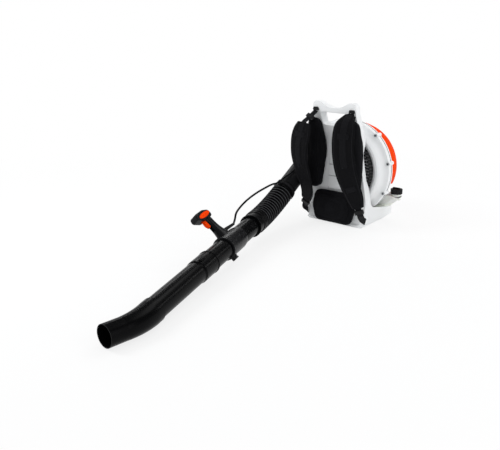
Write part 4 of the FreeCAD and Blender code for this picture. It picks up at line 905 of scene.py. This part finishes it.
def edge_stitches(name, strap, frames, share):
    """Line of stitches at a share of the strap's half width."""
    places = []
    for centre, width, along, flat, normal in even_frames(frames[3:-3], STITCH_PITCH):
        point, found = surface_place(strap, centre + flat * (share * width / 2), normal)
        places.append((point + found * 0.1, along))
    stitches(name, places, 3.0, 0.42)


def box_stitch(name, strap, frames, start, end, half_width=10):
    """Sewn rectangle with a cross, on the front of a strap."""
    first = frames[int(start * len(frames))]
    last = frames[int(end * len(frames))]
    normal = (first[4] + last[4]).normalized()
    corners = [first[0] - first[3] * half_width, first[0] + first[3] * half_width,
               last[0] + last[3] * half_width, last[0] - last[3] * half_width]
    places = []
    for a, b in ((0, 1), (1, 2), (2, 3), (3, 0), (0, 2), (1, 3)):
        run = corners[b] - corners[a]
        steps = int(run.length / 3.2)
        for step in range(steps):
            point, found = surface_place(strap, corners[a] + run * ((step + 0.5) / steps), normal)
            places.append((point + found * 0.1, run.normalized()))
    stitches(name, places, 2.2, 0.4)


def band(name, frames, thickness, replaced=()):
    """Flat webbing along frames, with rolled edges."""

    def half_at(index, u, face):
        return thickness / 2 * max(math.sqrt(max(0.0, 1 - abs(u) ** 8)), 0.35)

    sewn(strip(name, frames, [-1 + 2 * column / 11 for column in range(12)], half_at), WEBBING, replaced)


def front_webbing(name, strap, frames):
    """Webbing that lies along the front of a strap."""
    last = int(WEBBING_END * len(frames))
    laid = []
    for centre, width, along, flat, normal in frames[int(WEBBING_START * len(frames)):last]:
        point, found = surface_place(strap, centre, normal)
        laid.append((point + normal * 0.9, WEBBING_WIDTH, along, flat, normal))
    band(name, laid, 1.8)


def keeper_band(name, strap, frames, share):
    """Short webbing sewn across a strap, over its lengthwise webbing where that runs."""
    centre, width, along, flat, normal = frames[int(share * len(frames))]
    laid = []
    for step in range(15):
        across = -1 + 2 * step / 14
        point, found = surface_place(strap, centre + flat * (across * 0.27 * width), normal)
        lift = 2.6 if share < WEBBING_END and abs(across) < 0.62 else 1.0
        laid.append((point + normal * lift, KEEPER_WIDTH, flat, along, normal))
    band(name, laid, 1.6)


def make_strap(side, word):
    """One padded strap with its bindings, stitches and webbing; returns its frames."""
    frames = strap_frames(side)
    strap = shoulder_strap("shoulder_strap_padding_" + word, side, frames)
    sewn(strap, STRAP_CLOTH, ["shoulder_strap_" + word])
    for edge in (1, -1):
        tag = word + ("_outer" if edge * side > 0 else "_inner")
        edge_binding("strap_binding_" + tag, frames, edge)
        edge_stitches("strap_stitches_" + tag, strap, frames, edge * 0.84)
    front_webbing("strap_front_webbing_" + word, strap, frames)
    for number, share in enumerate(KEEPERS[side], 1):
        keeper_band(f"strap_keeper_{word}_{number}", strap, frames, share)
    for place, ends in BOX_STITCHES.items():
        box_stitch(f"strap_box_stitch_{word}_{place}", strap, frames, *ends)
    return frames


def free_webbing(name, places, replaced=()):
    """Webbing bent through places, each of which gives a point and the width direction."""
    samples = smooth_line([(*point, WEBBING_WIDTH, *across) for point, across in places], 40)
    band(name, line_frames(samples, [Vector(sample[4:]) for sample in samples]), 2.2, replaced)


def make_webbing(side, word, frames):
    """Webbing from a strap's foot to the loop on the base, and from the hook by the carry bar to its top."""
    end, width, along, across, normal = frames[-1]
    loop_x = BASE_HALF_WIDTH + LOOP_STAND
    free_webbing("webbing_lower_" + word, [
        (end - along * 6, across), (end + along * 14, across), (end + along * 34, across),
        (Vector((side * (loop_x + 1), -16, 44)), Vector((side * 0.5, 0.6, 0.6))),
        (Vector((side * loop_x, 14, 26)), Vector((0, 0.5, 0.86))),
    ], ["strap_webbing"] if side > 0 else [])
    top, width, along, across, normal = frames[0]
    hook = Vector((HOOK_X, -HORN_LEAN, HOOK_Z)) + HOOK_BAR
    hook.x *= side
    free_webbing("webbing_upper_" + word, [
        (hook, across), ((hook + top) / 2, across), (top - along * 3, across), (top + along * 5, across)])


for strap in [(side, word, make_strap(side, word)) for side, word in ((1, "left"), (-1, "right"))]:
    make_webbing(*strap)


# Ribbed hose, in two halves

def hose_place(share):
    turn = ELBOW_DIRECTION.angle(WAND_DIRECTION) * share
    spin = Matrix.Rotation(turn, 3, HOSE_NORMAL)
    return HOSE_CENTRE + spin @ (HOSE_START - HOSE_CENTRE), spin @ ELBOW_DIRECTION


def rib_radius(phase):
    """Radius at a place along one rib: a round crest and a narrower valley."""
    rise = 0.5 - 0.5 * math.cos(2 * math.pi * min(max((phase - 0.06) / 0.88, 0), 1))
    return HOSE_VALLEY - 1.2 + (HOSE_CREST - HOSE_VALLEY + 1.2) * rise ** 0.7


def hose_half(name, low, high):
    around = 72
    steps = 12
    outer = []
    inner = []
    uvs = []
    first = int(round(low * RIB_COUNT * steps))
    last = int(round(high * RIB_COUNT * steps))
    for index in range(first, last + 1):
        share = index / (RIB_COUNT * steps)
        centre, direction = hose_place(share)
        phase = (index % steps) / steps
        up = direction.cross(HOSE_NORMAL)
        for step, (c, s) in enumerate(circle(around)):
            ray = HOSE_NORMAL * c + up * s
            outer.append(centre + ray * rib_radius(phase))
            inner.append(centre + ray * HOSE_BORE)
            uvs.append((index / steps, step / around))
    rings = last - first + 1
    faces = ring_faces(rings, around)
    faces += [tuple(reversed(f)) for f in ring_faces(rings, around, start=len(outer))]
    for end in (0, rings - 1):
        for step in range(around):
            a = end * around + step
            b = end * around + (step + 1) % around
            faces.append((a, b, b + len(outer), a + len(outer)))
    piece = mesh_object(name, outer + inner, faces, uvs=uvs + uvs)
    turn_outward(piece)
    return piece


HOSE_SPLIT = 0.5
for name, low, high, pair in (("ribbed_hose_upper", 0.0, HOSE_SPLIT, ("machine", "hose")),
                              ("ribbed_hose_lower", HOSE_SPLIT, 1.0, ("hose", "lower_cuff"))):
    half = hose_half(name, low, high)
    replaced = ["pleated_hose"] if low == 0 else []
    finish_piece(half, RIBBED, None, replaced)
    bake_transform(half)


# Painted shadow along the seam of the fan housing, and painted shade in the sockets of its screws

def on_fan_circle(radius, degrees, y):
    angle = math.radians(degrees)
    return Vector((FAN_X + radius * math.cos(angle), y, FAN_Z + radius * math.sin(angle)))


def make_seam_shadow():
    reach = math.degrees(math.acos((SIDE_X - FAN_X) / SEAM_RADIUS)) - 1
    path = [on_fan_circle(SEAM_RADIUS + 0.1, turn, SEAM_Y) for turn in np.linspace(-reach, reach, 140)]
    # Painted shadow: a thin dark tube laid along the seam where the housing's halves meet
    points, faces = tube_mesh(path, 1.0, 8)
    finish_piece(mesh_object("housing_seam_shadow", points, faces), SOFT_RUBBER_AND_SHADE, "machine")


def socket_shade_star(centre, radius, lobes=6):
    """Flat dark six-lobed figure, painted shade that stands for the recess of a screw's socket."""
    points = [centre]
    steps = lobes * 6
    for step in range(steps):
        angle = 2 * math.pi * step / steps
        reach = radius * (0.84 + 0.16 * math.cos(lobes * angle))
        points.append(centre + Vector((math.cos(angle) * reach, 0, math.sin(angle) * reach)))
    return points, [(0, i + 1, (i + 1) % steps + 1) for i in range(steps)]


def make_screw_socket_shades():
    parts = []
    for index in range(-3, 4):
        centre = on_fan_circle(SEAM_RADIUS, EAR_TURN + EAR_STEP * index, EAR_FRONT - SCREW_STAND)
        # Painted shade: a flat dark star on each screw head, standing for its socket
        parts.append(socket_shade_star(centre, 3.2))
    points, faces = joined(parts)
    finish_piece(mesh_object("screw_socket_shades", points, faces, False), SOFT_RUBBER_AND_SHADE, "machine")


make_seam_shadow()
make_screw_socket_shades()


# Wand, whose tubes are shaded as true rounds

def wand_place(x, y, z):
    return HOSE_END + WAND_DIRECTION * x + WAND_LEFT * y + WAND_UP * z


def wand_line():
    """Points and directions along the middle of the tubes, round the nozzle's bend."""
    points = [(wand_place(x, 0, 0), WAND_DIRECTION) for x in range(-60, int(BEND_START), 4)]
    roll = math.radians(NOZZLE_ROLL)
    up = WAND_UP * math.cos(roll) - WAND_LEFT * math.sin(roll)
    pivot = wand_place(BEND_START, 0, 0) + up * BEND_RADIUS
    for step in range(41):
        turn = math.radians(BEND_ANGLE) * step / 40
        points.append((pivot + (WAND_DIRECTION * math.sin(turn) - up * math.cos(turn)) * BEND_RADIUS,
                       WAND_DIRECTION * math.cos(turn) + up * math.sin(turn)))
    end, direction = points[-1]
    points += [(end + direction * 4 * step, direction) for step in range(1, 40)]
    return points


def round_tube(name, line):
    """Shades a tube's turned faces as a true round, with normals that point out from its middle."""
    node = nodes[name]
    node.modifiers.clear()
    mesh = node.data
    centres = np.array([tuple(point) for point, direction in line]) * MM
    directions = np.array([tuple(direction) for point, direction in line])
    places = np.array([tuple(node.matrix_world @ v.co) for v in mesh.vertices])
    turned = node.matrix_world.to_3x3().inverted()
    nearest = np.array([int(np.argmin(((centres - place) ** 2).sum(1))) for place in places])
    middle, along = centres[nearest], directions[nearest]
    outward = places - middle
    outward -= along * (outward * along).sum(1, keepdims=True)
    outward /= np.maximum(np.linalg.norm(outward, axis=1, keepdims=True), 1e-9)
    normals = []
    for polygon in mesh.polygons:
        flat = node.matrix_world.to_3x3() @ polygon.normal
        flat = np.array(tuple(flat.normalized()))
        for index in polygon.vertices:
            facing = float(flat @ outward[index])
            if abs(facing) > 0.8:
                slope = float(flat @ along[index])
                level = math.sqrt(max(0.0, 1 - slope * slope))
                found = outward[index] * math.copysign(level, facing) + along[index] * slope
            else:
                found = flat
            normals.append((turned @ Vector(found)).normalized())
    mesh.normals_split_custom_set([tuple(normal) for normal in normals])


for node_name in ("swivel_tube", "blower_tube", "curved_nozzle", "wand_sleeve"):
    round_tube(node_name, wand_line())


# Throttle cable

def elbow_place(back, degrees, radius):
    side = ELBOW_DIRECTION.cross(Z).normalized()
    up = side.cross(ELBOW_DIRECTION)
    angle = math.radians(degrees)
    return HOSE_START - ELBOW_DIRECTION * back + (up * math.cos(angle) - side * math.sin(angle)) * radius


CABLE_ROUTE = [
    Vector((-80, 182, 330)), Vector((-80, 159, 330)), Vector((-124, 156, 330)), Vector((-150, 132, 322)),
    Vector((-158, 90, 310)),
    elbow_place(236, 28, 62), elbow_place(200, 34, 56), elbow_place(160, 32, 51), elbow_place(120, 20, 49),
    elbow_place(80, 12, 49), elbow_place(48, 4, 52), elbow_place(22, 1, 56), elbow_place(-12, 0, 62),
    wand_place(-165, 73, 67), wand_place(-112, 61, 75), wand_place(-52, 47, 82), wand_place(8, 32, 84),
    wand_place(64, 24, 80), wand_place(116, 20, 72), wand_place(150, 19, 55), wand_place(178, 18, 46),
]
CABLE_CUTS = [(11, 12), (15, 16), (18, 19)]


def spline_points(route):
    """Points along the smooth NURBS line that has the route as its control points."""
    curve = bpy.data.curves.new("cable_line", "CURVE")
    curve.dimensions = "3D"
    spline = curve.splines.new("NURBS")
    spline.points.add(len(route) - 1)
    for point, place in zip(spline.points, route):
        point.co = (*(place * MM), 1)
    spline.order_u = 3
    spline.use_endpoint_u = True
    curve.resolution_u = 10
    line = bpy.data.objects.new("cable_line", curve)
    mesh = bpy.data.meshes.new_from_object(line)
    points = [v.co / MM for v in mesh.vertices]
    bpy.data.objects.remove(line)
    return points


def make_cable():
    points = spline_points(CABLE_ROUTE)
    cuts = []
    for a, b in CABLE_CUTS:
        middle = (CABLE_ROUTE[a] + CABLE_ROUTE[b]) / 2
        cuts.append(min(range(len(points)), key=lambda i: (points[i] - middle).length))
    bounds = [0] + cuts + [len(points) - 1]
    pairs = [None, ("machine", "hose"), ("hose", "lower_cuff"), ("lower_cuff", "wand")]
    for number, pair in enumerate(pairs):
        stretch = points[bounds[number]:bounds[number + 1] + 1]
        mesh_points, faces = tube_mesh(stretch, CABLE_RADIUS, 14)
        piece = mesh_object(f"cable_run_{number + 1}", mesh_points, faces)
        body = None if pair else "machine"
        finish_piece(piece, CABLE, body, [f"throttle_cable_{number + 1}"])
        if pair:
            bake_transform(piece)


make_cable()


# Starter rope

ROPE_Y = 256.0
ROPE_Z = 180.0
ROPE_RADIUS = 2.0
ROPE_MOUTH = -54.0
ROPE_END = -90.9


def make_rope():
    path = [Vector((x, ROPE_Y, ROPE_Z)) for x in np.linspace(FAN_X, ROPE_MOUTH, 20, endpoint=False)]
    path += [Vector((x, ROPE_Y, ROPE_Z)) for x in np.linspace(ROPE_MOUTH, ROPE_END, 121)]
    points, faces = tube_mesh(path, ROPE_RADIUS, 12)
    uvs = [((i % 12) * 0.00105, path[i // 12].x * MM) for i in range(len(points))]
    piece = mesh_object("starter_rope_run", points, faces, uvs=uvs)
    finish_piece(piece, ROPE, None, ["starter_rope"])
    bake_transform(piece)


make_rope()


# Coloured plates on the sides of the control head

HANDLE_STATION = 256.0
GRIP_HEIGHT = 132.0
HEAD_HALF_WIDTH = 18.0
PLATE_HALF_HEIGHT = 9.4
PLATE_TILT = math.radians(-2)
# Share of the oval and rise, from the rim inward
PLATE_PROFILE = ((1.0, 0.0), (1.0, 1.3), (0.985, 2.0), (0.95, 2.4), (0.90, 2.45), (0.86, 2.1), (0.83, 2.0),
                 (0.6, 2.5), (0.3, 2.8), (0.05, 2.9))


def inlay_plate(side, middle, half_length):
    """Domed oval with a rolled rim, on one side of the head."""
    around = 64
    points = []
    for share, rise in PLATE_PROFILE:
        for c, s in circle(around):
            along = c * half_length * share
            over = s * PLATE_HALF_HEIGHT * share
            x = HANDLE_STATION + middle + along * math.cos(PLATE_TILT) - over * math.sin(PLATE_TILT)
            z = GRIP_HEIGHT + 4.5 + along * math.sin(PLATE_TILT) + over * math.cos(PLATE_TILT)
            points.append(wand_place(x, side * (HEAD_HALF_WIDTH + rise - 0.3), z))
    faces = ring_faces(len(PLATE_PROFILE), around)
    faces.append(tuple(range(len(points) - around, len(points))))
    return points, faces


def make_inlays():
    points, faces = joined([inlay_plate(1, 18, 36), inlay_plate(-1, 25, 27)])
    piece = mesh_object("head_inlay_plates", points, faces)
    turn_outward(piece)
    finish_piece(piece, ORANGE, "wand", ["head_inlay"])


make_inlays()
